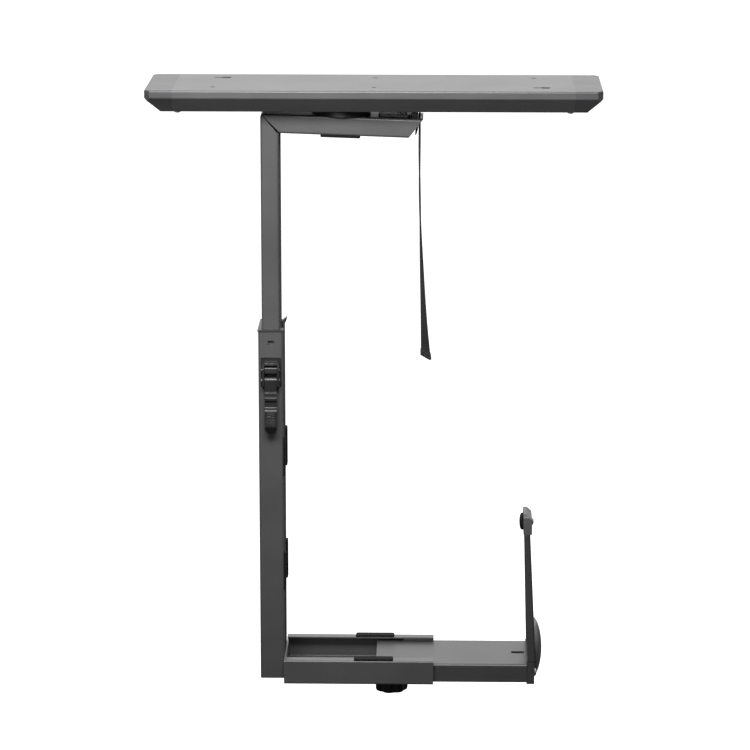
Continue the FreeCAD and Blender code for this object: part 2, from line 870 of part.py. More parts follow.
def open_channel(left, right, half, sheet, lip, radius):
    """Outline of a channel open to the right, with lips turned in."""
    inner = half - sheet
    upper = [
        (right, half - lip),
        (right, half, radius),
        (left, half, radius),
    ]
    lower = [(u, -v, *r) for u, v, *r in reversed(upper)]
    inside_low = [
        (right - sheet, lip - half),
        (right - sheet, -inner, 0.6),
        (left + sheet, -inner, 0.6),
    ]
    inside_high = [(u, -v, *r) for u, v, *r in reversed(inside_low)]
    return upper + lower + inside_low + inside_high


def lock_window():
    left = S.lock_x - 10.4
    return rectangle(left, S.window_top - S.window_height, S.lock_x + 10.4, S.window_top)


def square_hole():
    """A hole for a locating key, just under the sleeve's top."""
    top = S.sleeve_top - 9
    return rectangle(S.lock_x - 3, top - 5.2, S.lock_x + 3, top)


def make_sleeve():
    section = open_channel(S.sleeve_left, SLEEVE_RIGHT, SLEEVE_HALF, S.sleeve_sheet, S.sleeve_lip, 2.4)
    height = S.sleeve_top - S.frame_bottom
    body = prism("sleeve", "XY_Plane", section, height, S.frame_bottom)
    cut_outline(body, "XZ_Plane", lock_window(), S.sleeve_sheet * 3, SLEEVE_HALF)
    cut_outline(body, "XZ_Plane", square_hole(), S.sleeve_sheet * 3, SLEEVE_HALF)
    return body


def make_sleeve_liner():
    """A guide inside the sleeve's top, with a collar on the sleeve's edge and a lead-in hook."""
    gap = S.face_gap
    inner_left = S.upright_left - gap
    inner_right = UPRIGHT_RIGHT + gap
    inner_half = S.channel_width / 2 + gap
    mouth = SLEEVE_HALF - S.sleeve_lip

    def guide(outer_left, outer_right, outer_half):
        high = [(outer_right, mouth)]
        high += [(outer_right, outer_half, BEND_INSIDE), (outer_left, outer_half, BEND_INSIDE)]
        low = [(u, -v, *r) for u, v, *r in reversed(high)]
        inside_low = [(inner_right, -mouth), (inner_right, -inner_half), (inner_left, -inner_half)]
        inside_high = [(u, -v) for u, v in reversed(inside_low)]
        return high + low + inside_low + inside_high

    sheet = S.sleeve_sheet
    section = guide(S.sleeve_left + sheet, SLEEVE_RIGHT - sheet, SLEEVE_HALF - sheet)
    height = S.sleeve_top - S.liner_bottom
    body = prism("sleeve_liner", "XY_Plane", section, height, S.liner_bottom)
    over = S.collar_overhang
    collar = new_sketch(body, "XY_Plane", S.sleeve_top)
    outline(collar, guide(S.sleeve_left - over, SLEEVE_RIGHT + over, SLEEVE_HALF + over))
    pad(body, collar, S.collar_height)
    hook = new_sketch(body, "XZ_Plane", -SLEEVE_HALF)
    top = S.sleeve_top
    side = [(SLEEVE_RIGHT - 2.2, top), (SLEEVE_RIGHT + over, top)]
    side += [(SLEEVE_RIGHT + 2.5, top + S.hook_rise), (SLEEVE_RIGHT + 1, top + S.hook_rise)]
    side += [(SLEEVE_RIGHT - 2.2, top + S.collar_height)]
    outline(hook, side)
    pad(body, hook, 10)
    cut_outline(body, "XZ_Plane", lock_window(), 8, SLEEVE_HALF)
    cut_outline(body, "XZ_Plane", square_hole(), 8, SLEEVE_HALF)
    return body


def make_sleeve_pads():
    pads = []
    centre = SLEEVE_HALF - S.sleeve_lip / 2
    half = SLEEVE_PAD_WIDTH / 2
    for low, high in SLEEVE_PAD_SPANS:
        for side in (-1, 1):
            corners = rectangle(centre * side - half, low, centre * side + half, high, 2)
            strip = prism("sleeve_pad", "YZ_Plane", corners, S.pad_thickness, SLEEVE_RIGHT)
            pads.append(strip)
    return group("sleeve_pads", pads)


SLEEVE_PAD_WIDTH = 12
SLEEVE_PAD_SPANS = ((-392.5, -352.7), (-511, -471))


def make_sleeve_foot():
    sheet = S.sleeve_sheet
    half = SLEEVE_HALF - sheet
    corners = rectangle(S.sleeve_left + sheet, -half, SLEEVE_RIGHT - sheet, half, BEND_INSIDE)
    return prism("sleeve_foot", "XY_Plane", corners, 9, S.frame_bottom)


BASE_HALF = S.base_width / 2
BASE_TOP = S.frame_bottom + S.base_height
SLOT_HALF = S.stud_diameter / 2 + 0.5


def make_base_channel():
    sheet = S.base_sheet
    low = S.frame_bottom
    half = [
        (BASE_HALF, low, 1.7),
        (BASE_HALF, BASE_TOP, 1.7),
        (BASE_HALF - S.base_lip, BASE_TOP),
        (BASE_HALF - S.base_lip, BASE_TOP - sheet),
        (BASE_HALF - sheet, BASE_TOP - sheet, 0.6),
        (BASE_HALF - sheet, low + sheet, 0.6),
    ]
    length = S.base_right - SLEEVE_RIGHT
    body = prism("base_channel", "YZ_Plane", both_sides(half), length, SLEEVE_RIGHT)
    slot = rectangle(
        S.knob_x - S.travel - SLOT_HALF - 0.5,
        -SLOT_HALF,
        S.knob_x + SLOT_HALF + 0.5,
        SLOT_HALF,
        SLOT_HALF - 0.1,
    )
    cut_outline(body, "XY_Plane", slot, sheet * 3, low)
    return body


def make_base_end_plate():
    sheet = S.base_sheet
    half = BASE_HALF - sheet
    corners = rectangle(-half, S.frame_bottom + sheet, half, BASE_TOP - sheet, BEND_INSIDE)
    return prism("base_end_plate", "YZ_Plane", corners, 1.6, SLEEVE_RIGHT)


def make_base_pads():
    pads = []
    centre = BASE_HALF - S.base_lip / 2
    for side in (-1, 1):
        near = centre * side - BASE_PAD_WIDTH / 2
        far = centre * side + BASE_PAD_WIDTH / 2
        corners = rectangle(BASE_PAD_LEFT, near, BASE_PAD_RIGHT, far, 2)
        pads.append(prism("base_pad", "XY_Plane", corners, S.pad_thickness, BASE_TOP))
    return group("base_pads", pads)


BASE_PAD_WIDTH = 11
BASE_PAD_LEFT = -20
BASE_PAD_RIGHT = 19.5


def make_base_glides():
    """Nylon angles in the base's mouth that the tray slides between."""
    glides = []
    wall = BASE_HALF - S.base_sheet
    tray = S.tray_width / 2
    low = S.frame_bottom + S.base_sheet
    top = BASE_TOP - S.base_sheet
    gap = S.face_gap
    for side in (-1, 1):
        corners = [
            (wall * side, low, BEND_INSIDE),
            (wall * side, top, BEND_INSIDE),
            ((BASE_HALF - S.base_lip) * side, top),
            ((BASE_HALF - S.base_lip) * side, S.tray_top + gap),
            ((tray + gap) * side, S.tray_top + gap),
            ((tray + gap) * side, low),
        ]
        glides.append(prism("base_glide", "YZ_Plane", corners, 30, S.base_right - 31))
    return group("base_glides", glides)


# Lever lock in the sleeve's near wall


WALL_OUT = -SLEEVE_HALF
WALL_IN = S.sleeve_sheet - SLEEVE_HALF
LEVER_PIN = 2.5
ROCKER_PIN = 2


def make_lock_bracket():
    """A clevis in the window, whose two ears hold the lever's pin and the rocker's pin."""
    out = WALL_OUT - 9.5
    low = S.window_top - S.window_height
    top = S.window_top - S.lock_headroom
    window = lock_window()
    body = prism("lock_bracket", "XZ_Plane", window, 1, -WALL_IN)
    left = S.lock_x - S.lock_half_width
    right = S.lock_x + S.lock_half_width
    housing = new_sketch(body, "XZ_Plane", -WALL_IN)
    outline(housing, [(left, low), (right, low), (right, top, 3), (left, top, 3)])
    pad(body, housing, WALL_IN - out)
    wall = S.lock_half_width - S.lever_width / 2 - S.face_gap
    cavity = [(left + wall, low - 5), (right - wall, low - 5)]
    cavity += [(right - wall, top - 2, 1), (left + wall, top - 2, 1)]
    cut_outline(body, "XZ_Plane", cavity, 60, -WALL_IN)
    slant = [(out - 1, top + 1), (out - 1, top - 5), (out, top - 5), (out + 5, top - 0.5)]
    slant += [(out + 5, top + 1)]
    cut_outline(body, "YZ_Plane", slant, 400)
    cut_holes(body, "YZ_Plane", [(S.lever_pin_y, S.lever_pin_z, LEVER_PIN)], 400)
    cut_holes(body, "YZ_Plane", [(S.rocker_pin_y, S.rocker_pin_z, ROCKER_PIN)], 400)

    def low_ear(edge):
        in_front = all(abs(v.Y - number(out)) < 0.01 for v in edge.Vertexes)
        return in_front and level(edge, low)

    round_edges(body, 4, low_ear)
    return body


def cross_pin(label, radius, y, z):
    """A headed pin along X through both ears."""
    span = S.lock_half_width
    profile = [(0, -span - 1.2), (radius + 0.6, -span - 1.2), (radius + 0.6, -span)]
    profile += [(radius, -span), (radius, span + 0.8, 0.4), (0, span + 0.8)]
    body = turned(label, profile)
    return place(body, S.lock_x, y, z, Vector(0, 1, 0), 90)


def make_pressure_rocker():
    """A shoe that hangs from its pin and presses on the upright when the lever is closed."""
    face = -S.channel_width / 2 - S.face_gap
    back = face - 2.6
    top = S.rocker_pin_z
    low = S.window_top - S.window_height + 1.5
    side = [(back, low, 1), (face, low, 1), (face, top + 3.6, 1)]
    side += [(S.rocker_pin_y - 3.8, top + 3.6, 1.5), (S.rocker_pin_y - 3.8, top - 3, 1.5)]
    side += [(back, top - 4.6, 1)]
    body = prism("pressure_rocker", "YZ_Plane", side, S.lever_width, S.lock_x - S.lever_width / 2)
    bore = ROCKER_PIN + S.running_gap
    cut_holes(body, "YZ_Plane", [(S.rocker_pin_y, S.rocker_pin_z, bore)], 400)
    return body


LEVER_LENGTH = 52.6


def make_cam_lever():
    """A lever that hangs from a cam head, with two ledges, a finger recess and a bulged grip."""
    y = S.lever_pin_y
    z = S.lever_pin_z
    tip = z - LEVER_LENGTH
    front = y - 4.4
    cam = [(y + 4.6, z + 4.2, 3.5), (y + 4.6, z - 3.5, 2), (y + 1.6, z - 9, 6)]
    back = [(y - 2, z - 27, 30), (y - 3.2, tip)]
    grip = [(y - 6.4, tip), (y - 8.8, z - 46, 5), (y - 8.3, z - 29, 2)]
    recess = [(y - 5.4, z - 26.2, 1.2), (y - 5.2, z - 20.6, 1)]
    ledges = [(y - 7.4, z - 19.2, 0.6), (y - 7.4, z - 16.4, 0.6), (front - 1.4, z - 15.4, 0.5)]
    ledges += [(front - 1.4, z - 12, 0.5), (front, z - 10.8, 0.5)]
    side = cam + back + grip + recess + ledges + [(front, z + 4.2, 3.5)]
    body = prism("cam_lever", "YZ_Plane", side, S.lever_width, S.lock_x - S.lever_width / 2)
    bore = LEVER_PIN + S.running_gap
    cut_holes(body, "YZ_Plane", [(S.lever_pin_y, S.lever_pin_z, bore)], 400)

    def tip_corner(edge):
        return edge.BoundBox.XLength < 0.01 and level(edge, tip)

    round_edges(body, 5.5, tip_corner)
    return body


# Extension tray, clamp arm and lock knob


TRAY_HALF = S.tray_width / 2
TRAY_BOTTOM = S.frame_bottom + S.base_sheet + S.face_gap


def make_extension_tray():
    sheet = S.tray_sheet
    half = [
        (TRAY_HALF, TRAY_BOTTOM),
        (TRAY_HALF, S.tray_top, 2.4),
    ]
    inner = [(TRAY_HALF - sheet, S.tray_top - sheet, 0.6), (TRAY_HALF - sheet, TRAY_BOTTOM)]
    corners = half + [(-u, v, *r) for u, v, *r in reversed(half)]
    corners += [(-u, v, *r) for u, v, *r in reversed(inner)]
    corners += inner
    length = S.tray_right - S.tray_left
    body = prism("extension_tray", "YZ_Plane", corners, length, S.tray_left)
    slot = rectangle(S.tray_right - 15, -3.6, S.tray_right - 1.5, 3.6, 2)
    cut_outline(body, "XY_Plane", slot, sheet * 3, S.tray_top)
    notch = rectangle(S.tray_right - 7.5, TRAY_HALF - 2, S.tray_right - 4.5, TRAY_HALF + 1)
    cut_outline(body, "XY_Plane", notch, 6, S.tray_top)
    return body


def make_stud_plate():
    half = TRAY_HALF - S.tray_sheet
    corners = rectangle(S.tray_left + 2, -half, S.knob_x * 2 - 4, half)
    body = prism("stud_plate", "XY_Plane", corners, 2.5, TRAY_BOTTOM)
    cut_holes(body, "XY_Plane", [(S.knob_x, 0, S.stud_diameter / 2)], 9, TRAY_BOTTOM)
    return body


STUD = S.stud_diameter / 2
KNOB_TOP = S.frame_bottom - 2.2


def make_knob_stud():
    top = TRAY_BOTTOM + 2.5
    low = KNOB_TOP - 13
    profile = [(0, low), (STUD - 0.8, low), (STUD, low + 0.8), (STUD, top), (7.5, top)]
    profile += [(7.5, top + 3.5, 2), (0, top + 3.5)]
    return place(turned("knob_stud", profile), S.knob_x)


def make_stud_washer():
    low = S.frame_bottom - 1.9
    body = ring("stud_washer", STUD + 0.1, 11, low, S.frame_bottom - S.face_gap)
    return place(body, S.knob_x)


LOBES = 7
FLUTE_OFFSET = 3.4
FLUTE_RADIUS = 5
KNOB_BORE_DEPTH = 14


def make_lock_knob():
    """A lobed hand knob with a blind bore for the stud."""
    radius = S.knob_diameter / 2
    body = new_body("lock_knob")
    rim = new_sketch(body, "XY_Plane", KNOB_TOP)
    circle(rim, 0, 0, radius)
    pad(body, rim, S.knob_height, backwards=True)
    bore = new_sketch(body, "XY_Plane", KNOB_TOP)
    circle(bore, 0, 0, STUD + S.running_gap)
    pocket(body, bore, KNOB_BORE_DEPTH, symmetric=False)
    nest = new_sketch(body, "XY_Plane", KNOB_TOP)
    circle(nest, 0, 0, INSERT)
    pocket(body, nest, INSERT_DEPTH, symmetric=False)
    scallop = new_sketch(body, "XY_Plane", KNOB_TOP)
    circle(scallop, radius + FLUTE_OFFSET, 0, FLUTE_RADIUS)
    flute = pocket(body, scallop, S.knob_height * 3)
    pattern = body.newObject("PartDesign::PolarPattern", "Lobes")
    pattern.Originals = [flute]
    pattern.Axis = (scallop, ["N_Axis"])
    pattern.Angle = 360
    pattern.Occurrences = LOBES
    body.Tip = pattern
    doc.recompute()
    round_edges(body, 1.5, lambda e: level(e, KNOB_TOP - S.knob_height))
    return place(body, S.knob_x)


INSERT = STUD + 2.5
INSERT_DEPTH = 8


def make_knob_insert():
    body = ring("knob_insert", STUD + S.running_gap, INSERT, KNOB_TOP - INSERT_DEPTH, KNOB_TOP)
    return place(body, S.knob_x)


CLAMP_FOOT_TOP = -581
CLAMP_HEAD_BOTTOM = S.clamp_top - 20


def tapered_block(label, inner_edge, outer_edge, inset, low, high):
    """A block between two heights that narrows upwards; its X faces are functions of height."""
    half_low = S.clamp_base_width / 2
    fall = (S.clamp_base_width - S.clamp_top_width) / 2 / (S.clamp_top - S.frame_bottom)
    bottom = half_low - fall * (low - S.frame_bottom) - inset
    top = half_low - fall * (high - S.frame_bottom) - inset
    block = doc.addObject("Part::Wedge", label)
    block.Label = label
    faces = {
        "Xmin": inner_edge(low),
        "Xmax": outer_edge(low),
        "X2min": inner_edge(high),
        "X2max": outer_edge(high),
        "Zmin": -bottom,
        "Zmax": bottom,
        "Z2min": -top,
        "Z2max": top,
        "Ymin": low,
        "Ymax": high,
    }
    for name, size in faces.items():
        bind(block, name, size)
    block.Placement = Placement(Vector(), Rotation(Vector(1, 0, 0), 90))
    doc.recompute()
    return block


def boolean(kind, label, base, tool):
    result = doc.addObject(f"Part::{kind}", label)
    result.Label = label
    result.Base = base
    result.Tool = tool
    doc.recompute()
    return result


CLAMP_RISE = S.clamp_top - S.frame_bottom


def clamp_inner(z):
    """X of the flange's free edge, which leans in as it rises."""
    lean = (S.clamp_inner_high - S.clamp_inner_low) / CLAMP_RISE
    return S.clamp_inner_low + lean * (z - S.frame_bottom)


def clamp_outer(z):
    """X of the web's outer face."""
    fall = (S.clamp_depth_high - S.clamp_depth_low) / CLAMP_RISE
    return clamp_inner(z) + S.clamp_depth_low + fall * (z - S.frame_bottom)


def cylinder(label, radius, height, x, y, z, axis=None, angle=0):
    item = doc.addObject("Part::Cylinder", label)
    bind(item, "Radius", radius)
    bind(item, "Height", height)
    return place(item, x, y, z, axis, angle)


def make_clamp_arm():
    """A pressed A-shaped arm: a web with flanges turned in and a window in its middle."""
    low = CLAMP_FOOT_TOP
    high = CLAMP_HEAD_BOTTOM
    sheet = S.clamp_sheet
    skin = tapered_block("clamp_skin", clamp_inner, clamp_outer, 0, low, high)

    def behind(z):
        return clamp_inner(z) - 12

    def web_face(z):
        return clamp_outer(z) - sheet

    def beyond(z):
        return clamp_outer(z) + 12

    hollow = tapered_block("clamp_hollow", behind, web_face, sheet, low - 1, high - sheet)
    shell = boolean("Cut", "clamp_shell", skin, hollow)
    sill = S.frame_bottom + 52
    window = tapered_block("clamp_window", behind, beyond, sheet + 4, sill, high - 4)
    frame = boolean("Cut", "clamp_frame", shell, window)
    result = doc.addObject("Part::Fillet", "clamp_arm")
    result.Label = "clamp_arm"
    result.Base = frame
    edges = frame.Shape.Edges
    chosen = [i for i, e in enumerate(edges, start=1) if runs_up_outside(e)]
    result.Edges = [(i, 1.6, 1.6) for i in chosen]
    doc.recompute()
    return result


def runs_up_outside(edge):
    """True for the two long bends between the web's outer face and the flanges."""
    ends = edge.Vertexes
    if len(ends) < 2 or edge.Length < 100:
        return False
    return all(abs(v.X - number(clamp_outer(v.Z))) < 0.02 for v in ends)


BUMPER_Z = S.clamp_top - 11.3


def foot_outer(z):
    """X of the foot's outer face, which narrows downwards."""
    return clamp_outer(z) - 0.9 + (z - CLAMP_FOOT_TOP) * 0.06


def make_clamp_foot():
    """The solid block that the arm stands on, fixed to the tray's end."""

    def inner(z):
        return z * 0 + S.tray_right

    body = tapered_block("foot_body", inner, foot_outer, 0.9, S.frame_bottom, CLAMP_FOOT_TOP)
    holes = [foot_rivet_hole(side) for side in (-1, 1)]
    first = boolean("Cut", "foot_drilled", body, holes[0])
    return boolean("Cut", "clamp_foot", first, holes[1])


FOOT_RIVET_Y = 35.5
FOOT_RIVET_Z = S.frame_bottom + 11


def foot_rivet_hole(side):
    start = S.tray_right - 1
    spot = (start, FOOT_RIVET_Y * side, FOOT_RIVET_Z)
    return cylinder("foot_rivet_hole", 2.1, 20, *spot, Vector(0, 1, 0), 90)


def dome_rivet(label, shank, length):
    """A rivet along Z with its domed head above z = 0 and its shank below."""
    profile = [(0, -length), (shank, -length), (shank, 0), (shank * 2, 0)]
    profile += [(shank * 1.8, 1.1), (shank, 1.9), (0, 2.1)]
    return turned(label, profile)


def make_clamp_rivets():
    rivets = []
    for side in (-1, 1):
        x = foot_outer(FOOT_RIVET_Z) + 0.1
        rivet = dome_rivet("foot_rivet", 2, 7)
        rivets.append(place(rivet, x, FOOT_RIVET_Y * side, FOOT_RIVET_Z, Vector(0, 1, 0), 90))
    rivet = dome_rivet("bumper_rivet", 2, CLAMP_HEAD_DEPTH - 0.5)
    x = HEAD_INNER + CLAMP_HEAD_DEPTH
    rivets.append(place(rivet, x, 0, BUMPER_Z, Vector(0, 1, 0), 90))
    return group("clamp_rivets", rivets)


APRON_RADII = (32, 12, 38)
APRON_X = 157.8
APRON_RISE = 27


def make_clamp_apron():
    """A domed plate outside the arm's foot, thickest at its middle."""
    dome = doc.addObject("Part::Ellipsoid", "apron_dome")
    dome.Radius1, dome.Radius2, dome.Radius3 = APRON_RADII
    place(dome, APRON_X, 0, S.frame_bottom + APRON_RISE)
    room = doc.addObject("Part::Box", "apron_room")
    bind(room, "Length", 30)
    bind(room, "Width", 66)
    bind(room, "Height", 52)
    place(room, 158, -33, S.frame_bottom + 1.5)
    cap = boolean("Common", "apron_cap", dome, room)
    over = tapered_block("apron_over", clamp_inner, clamp_outer, -30, CLAMP_FOOT_TOP, S.clamp_top)
    under = tapered_block(
        "apron_under", clamp_inner, foot_outer, -30, S.frame_bottom - 1, CLAMP_FOOT_TOP
    )
    half = boolean("Cut", "apron_half", cap, over)
    return boolean("Cut", "clamp_apron", half, under)


CLAMP_HEAD_DEPTH = 8.6
HEAD_INNER = S.clamp_inner_high - 0.6


def make_clamp_head():
    """A moulded head on the arm's top, bevelled on its outer side, that holds the bumper."""
    low = CLAMP_HEAD_BOTTOM
    high = S.clamp_top
    side = both_sides([(20.6, low), (18, high, 5)])
    body = prism("clamp_head", "YZ_Plane", side, CLAMP_HEAD_DEPTH, HEAD_INNER)
    outer = HEAD_INNER + CLAMP_HEAD_DEPTH
    bevel = [(outer - 5.5, high + 1), (outer - 5.5, high), (outer, high - 5.5)]
    bevel += [(outer + 1, high - 5.5), (outer + 1, high + 1)]
    cut_outline(body, "XZ_Plane", bevel, 60)
    cut_holes(body, "YZ_Plane", [(0, BUMPER_Z, 2.1)], 40, HEAD_INNER)
    return body


def make_bumper_pad():
    profile = [(0, 0), (8.6, 0), (8.6, 1.6, 0.8), (5.5, 3.9, 3), (0, 3.9)]
    bumper = turned("bumper_pad", profile)
    return place(bumper, HEAD_INNER, 0, BUMPER_Z, Vector(0, 1, 0), -90)


# Every sub-part, each written to a file of its own


def make_parts():
    return [
        make_rail(),
        make_end_cap("end_cap_right", 0),
        make_end_cap("end_cap_left", 180),
        make_cap_screws(),
        make_stop_bumpers(),
        make_carriage_plate(),
        make_glide_shoes(),
        make_top_glides(),
        make_swivel_race(),
        make_race_rivets(),
        make_swivel_bearing(),
        make_pivot_bolt(),
        make_pivot_washer(),
        make_pivot_nut(),
        make_swivel_hub(),
        make_upper_bracket(),
        make_hub_screws(),
        make_hub_seat(),
        make_swivel_latch(),
        make_latch_rivets(),
        make_arm_edge_pads(),
        make_tube_foot(),
        make_strap_clamp(),
        make_strap_screws(),
        make_strap(),
        make_sleeve(),
        make_sleeve_liner(),
        make_sleeve_pads(),
        make_sleeve_foot(),
        make_base_channel(),
        make_base_end_plate(),
        make_base_pads(),
        make_base_glides(),
        make_lock_bracket(),
        cross_pin("lever_pin", LEVER_PIN, S.lever_pin_y, S.lever_pin_z),
        cross_pin("rocker_pin", ROCKER_PIN, S.rocker_pin_y, S.rocker_pin_z),
        make_pressure_rocker(),
        make_cam_lever(),
        make_extension_tray(),
        make_stud_plate(),
        make_knob_stud(),
        make_stud_washer(),
        make_lock_knob(),
        make_knob_insert(),
        make_clamp_arm(),
        make_clamp_foot(),
        make_clamp_rivets(),
        make_clamp_apron(),
        make_clamp_head(),
        make_bumper_pad(),
    ]


def check_document():
    """Stop if any feature of the document failed."""
    for item in doc.Objects:
        if "Invalid" in item.State or "Error" in item.State:
            raise RuntimeError(f"{item.Label} failed: {item.State}")


def write_parts(parts):
    os.makedirs("parts", exist_ok=True)
    for part in parts:
        if part.Shape.isNull() or not part.Shape.isValid():
            raise RuntimeError(f"{part.Label} is not a valid solid")
    for part in parts:
        part.Shape.exportStep(f"parts/{part.Label}.step")
        print(part.Label, round(part.Shape.Volume, 1), len(part.Shape.Solids))


PARTS = make_parts()
doc.recompute()
check_document()
write_parts(PARTS)
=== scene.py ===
import json
import math

import bmesh
import bpy
from mathutils import Matrix, Vector


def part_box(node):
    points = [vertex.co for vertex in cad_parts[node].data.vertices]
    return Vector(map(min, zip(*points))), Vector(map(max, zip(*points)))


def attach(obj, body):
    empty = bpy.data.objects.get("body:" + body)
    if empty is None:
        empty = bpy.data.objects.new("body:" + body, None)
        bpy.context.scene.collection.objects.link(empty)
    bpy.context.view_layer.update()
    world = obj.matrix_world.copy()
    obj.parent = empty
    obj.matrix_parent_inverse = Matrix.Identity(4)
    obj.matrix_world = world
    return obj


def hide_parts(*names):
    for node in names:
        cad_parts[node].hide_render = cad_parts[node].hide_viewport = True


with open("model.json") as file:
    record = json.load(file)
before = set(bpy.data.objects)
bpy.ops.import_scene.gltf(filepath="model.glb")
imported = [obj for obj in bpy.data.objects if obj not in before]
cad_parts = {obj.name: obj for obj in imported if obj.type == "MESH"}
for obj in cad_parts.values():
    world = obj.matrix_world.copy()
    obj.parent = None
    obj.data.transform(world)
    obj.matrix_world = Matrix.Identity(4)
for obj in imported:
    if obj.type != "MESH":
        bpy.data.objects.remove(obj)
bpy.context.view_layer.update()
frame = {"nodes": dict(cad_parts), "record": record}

# An under-desk computer holder in black powder-coated steel, rubber, nylon and webbing.
# Everything is in metres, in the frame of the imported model: the origin is on the desk side of
# the rail, +X runs along the rail and +Z is up.

MM = 0.001


# Node helpers


class Shader:
    """A material's node tree, built in the order that the light meets it."""

    def __init__(self, name):
        self.material = bpy.data.materials.new(name)
        self.material.use_nodes = True
        self.tree = self.material.node_tree
        self.tree.nodes.clear()
        self.surface = self.node("ShaderNodeBsdfPrincipled")
        output = self.node("ShaderNodeOutputMaterial")
        self.link(self.surface.outputs["BSDF"], output.inputs["Surface"])
        self.place = self.node("ShaderNodeTexCoord").outputs["Object"]

    def node(self, kind, **settings):
        item = self.tree.nodes.new(kind)
        for key, value in settings.items():
            setattr(item, key, value)
        return item

    def link(self, start, end):
        self.tree.links.new(start, end)

    def noise(self, scale, detail=3.0, roughness=0.55, stretch=None):
        item = self.node("ShaderNodeTexNoise")
        item.inputs["Scale"].default_value = scale
        item.inputs["Detail"].default_value = detail
        item.inputs["Roughness"].default_value = roughness
        self.link(self.stretched(stretch), item.inputs["Vector"])
        return item.outputs["Fac"]

    def stretched(self, stretch):
        if stretch is None:
            return self.place
        item = self.node("ShaderNodeMapping")
        item.inputs["Scale"].default_value = stretch
        self.link(self.place, item.inputs["Vector"])
        return item.outputs["Vector"]

    def ramp(self, value, low, high, start=0.3, end=0.7):
        """Maps a value between start and end to low to high."""
        item = self.node("ShaderNodeMapRange")
        item.inputs["From Min"].default_value = start
        item.inputs["From Max"].default_value = end
        item.inputs["To Min"].default_value = low
        item.inputs["To Max"].default_value = high
        self.link(value, item.inputs["Value"])
        return item.outputs["Result"]

    def mix(self, amount, dark, light):
        item = self.node("ShaderNodeMix", data_type="RGBA")
        self.link(amount, item.inputs["Factor"])
        for socket, colour in ((item.inputs[6], dark), (item.inputs[7], light)):
            if isinstance(colour, tuple):
                socket.default_value = (*colour, 1.0)
            else:
                self.link(colour, socket)
        return item.outputs[2]

    def math(self, operation, first, second):
        item = self.node("ShaderNodeMath", operation=operation)
        for socket, value in zip(item.inputs, (first, second)):
            if isinstance(value, (int, float)):
                socket.default_value = value
            else:
                self.link(value, socket)
        return item.outputs[0]

    def edges(self, radius):
        """How near a point is to a sharp edge: 0 on flat faces, rising towards 1 at an edge."""
        rounded = self.node("ShaderNodeBevel", samples=4)
        rounded.inputs["Radius"].default_value = radius
        flat = self.node("ShaderNodeNewGeometry").outputs["Normal"]
        compare = self.node("ShaderNodeVectorMath", operation="DOT_PRODUCT")
        self.link(rounded.outputs["Normal"], compare.inputs[0])
        self.link(flat, compare.inputs[1])
        return self.math("SUBTRACT", 1.0, compare.outputs["Value"])

    def bump(self, height, depth, soft_edge=0.0):
        """Surface relief of a depth in metres, over edges softened by soft_edge metres."""
        item = self.node("ShaderNodeBump")
        item.inputs["Distance"].default_value = depth
        self.link(height, item.inputs["Height"])
        if soft_edge:
            rounded = self.node("ShaderNodeBevel", samples=4)
            rounded.inputs["Radius"].default_value = soft_edge
            self.link(rounded.outputs["Normal"], item.inputs["Normal"])
        self.link(item.outputs["Normal"], self.surface.inputs["Normal"])

    def finish(self, colour, roughness, **constants):
        self.link(colour, self.surface.inputs["Base Color"])
        self.link(roughness, self.surface.inputs["Roughness"])
        for name, value in constants.items():
            self.surface.inputs[name.replace("_", " ")].default_value = value
        return self.material


# Materials


def powder_coat(name, shade=0.055, gloss=0.38, grain=1500):
    """Black powder coat: a fine pebbled skin, with a painted highlight along the edges."""
    s = Shader(name)
    grains = s.noise(grain, 2.0)
    orange_peel = s.noise(420, 1.0)
    cloud = s.noise(14, 4.0)
    base = s.mix(s.ramp(cloud, 0.0, 1.0), (shade * 0.88,) * 3, (shade * 1.1,) * 3)
    specks = s.ramp(s.noise(2600, 1.0), 0.0, 0.22, 0.62, 0.8)
    flecked = s.mix(specks, base, (shade * 2.2,) * 3)
    # Painted highlight: the colour is lightened along sharp edges.
    painted_edge_highlight = s.mix(s.ramp(s.edges(0.7 * MM), 0.0, 0.5, 0.02, 0.3), flecked, (shade * 2.3,) * 3)
    rough = s.math("ADD", s.ramp(cloud, gloss - 0.03, gloss + 0.03), s.ramp(grains, -0.04, 0.05))
    s.bump(s.math("ADD", grains, orange_peel), 0.025 * MM, 0.45 * MM)
    return s.finish(painted_edge_highlight, rough, IOR=1.5)


def moulded_plastic(name, shade, gloss, grain=900, relief=0.03):
    """Moulded plastic: a spark-eroded texture with faint flow marks."""
    s = Shader(name)
    grains = s.noise(grain, 3.0, 0.65)
    flow = s.noise(9, 3.0, 0.5, (1.0, 2.5, 6.0))
    dark = tuple(c * 0.85 for c in shade)
    light = tuple(c * 1.15 for c in shade)
    colour = s.mix(s.ramp(flow, 0.0, 1.0), dark, light)
    rough = s.math("ADD", s.ramp(flow, gloss - 0.04, gloss + 0.04), s.ramp(grains, -0.05, 0.06))
    s.bump(grains, relief * MM, 0.5 * MM)
    return s.finish(colour, rough, IOR=1.46)


def rubber(name, shade=0.013):
    """Matt moulded rubber, its colour lighter in patches near its sharp edges."""
    s = Shader(name)
    grains = s.noise(1400, 3.0, 0.7)
    patch_noise = s.noise(60, 3.0)
    # The colour is lightened in patches near sharp edges.
    near_edge = s.ramp(s.edges(1.0 * MM), 0.0, 1.0, 0.02, 0.3)
    edge_patches = s.math("MULTIPLY", near_edge, s.ramp(patch_noise, 0.2, 0.8))
    colour = s.mix(edge_patches, (shade,) * 3, (shade * 2.4,) * 3)
    s.bump(grains, 0.05 * MM, 0.5 * MM)
    return s.finish(colour, s.ramp(grains, 0.72, 0.9), IOR=1.22)


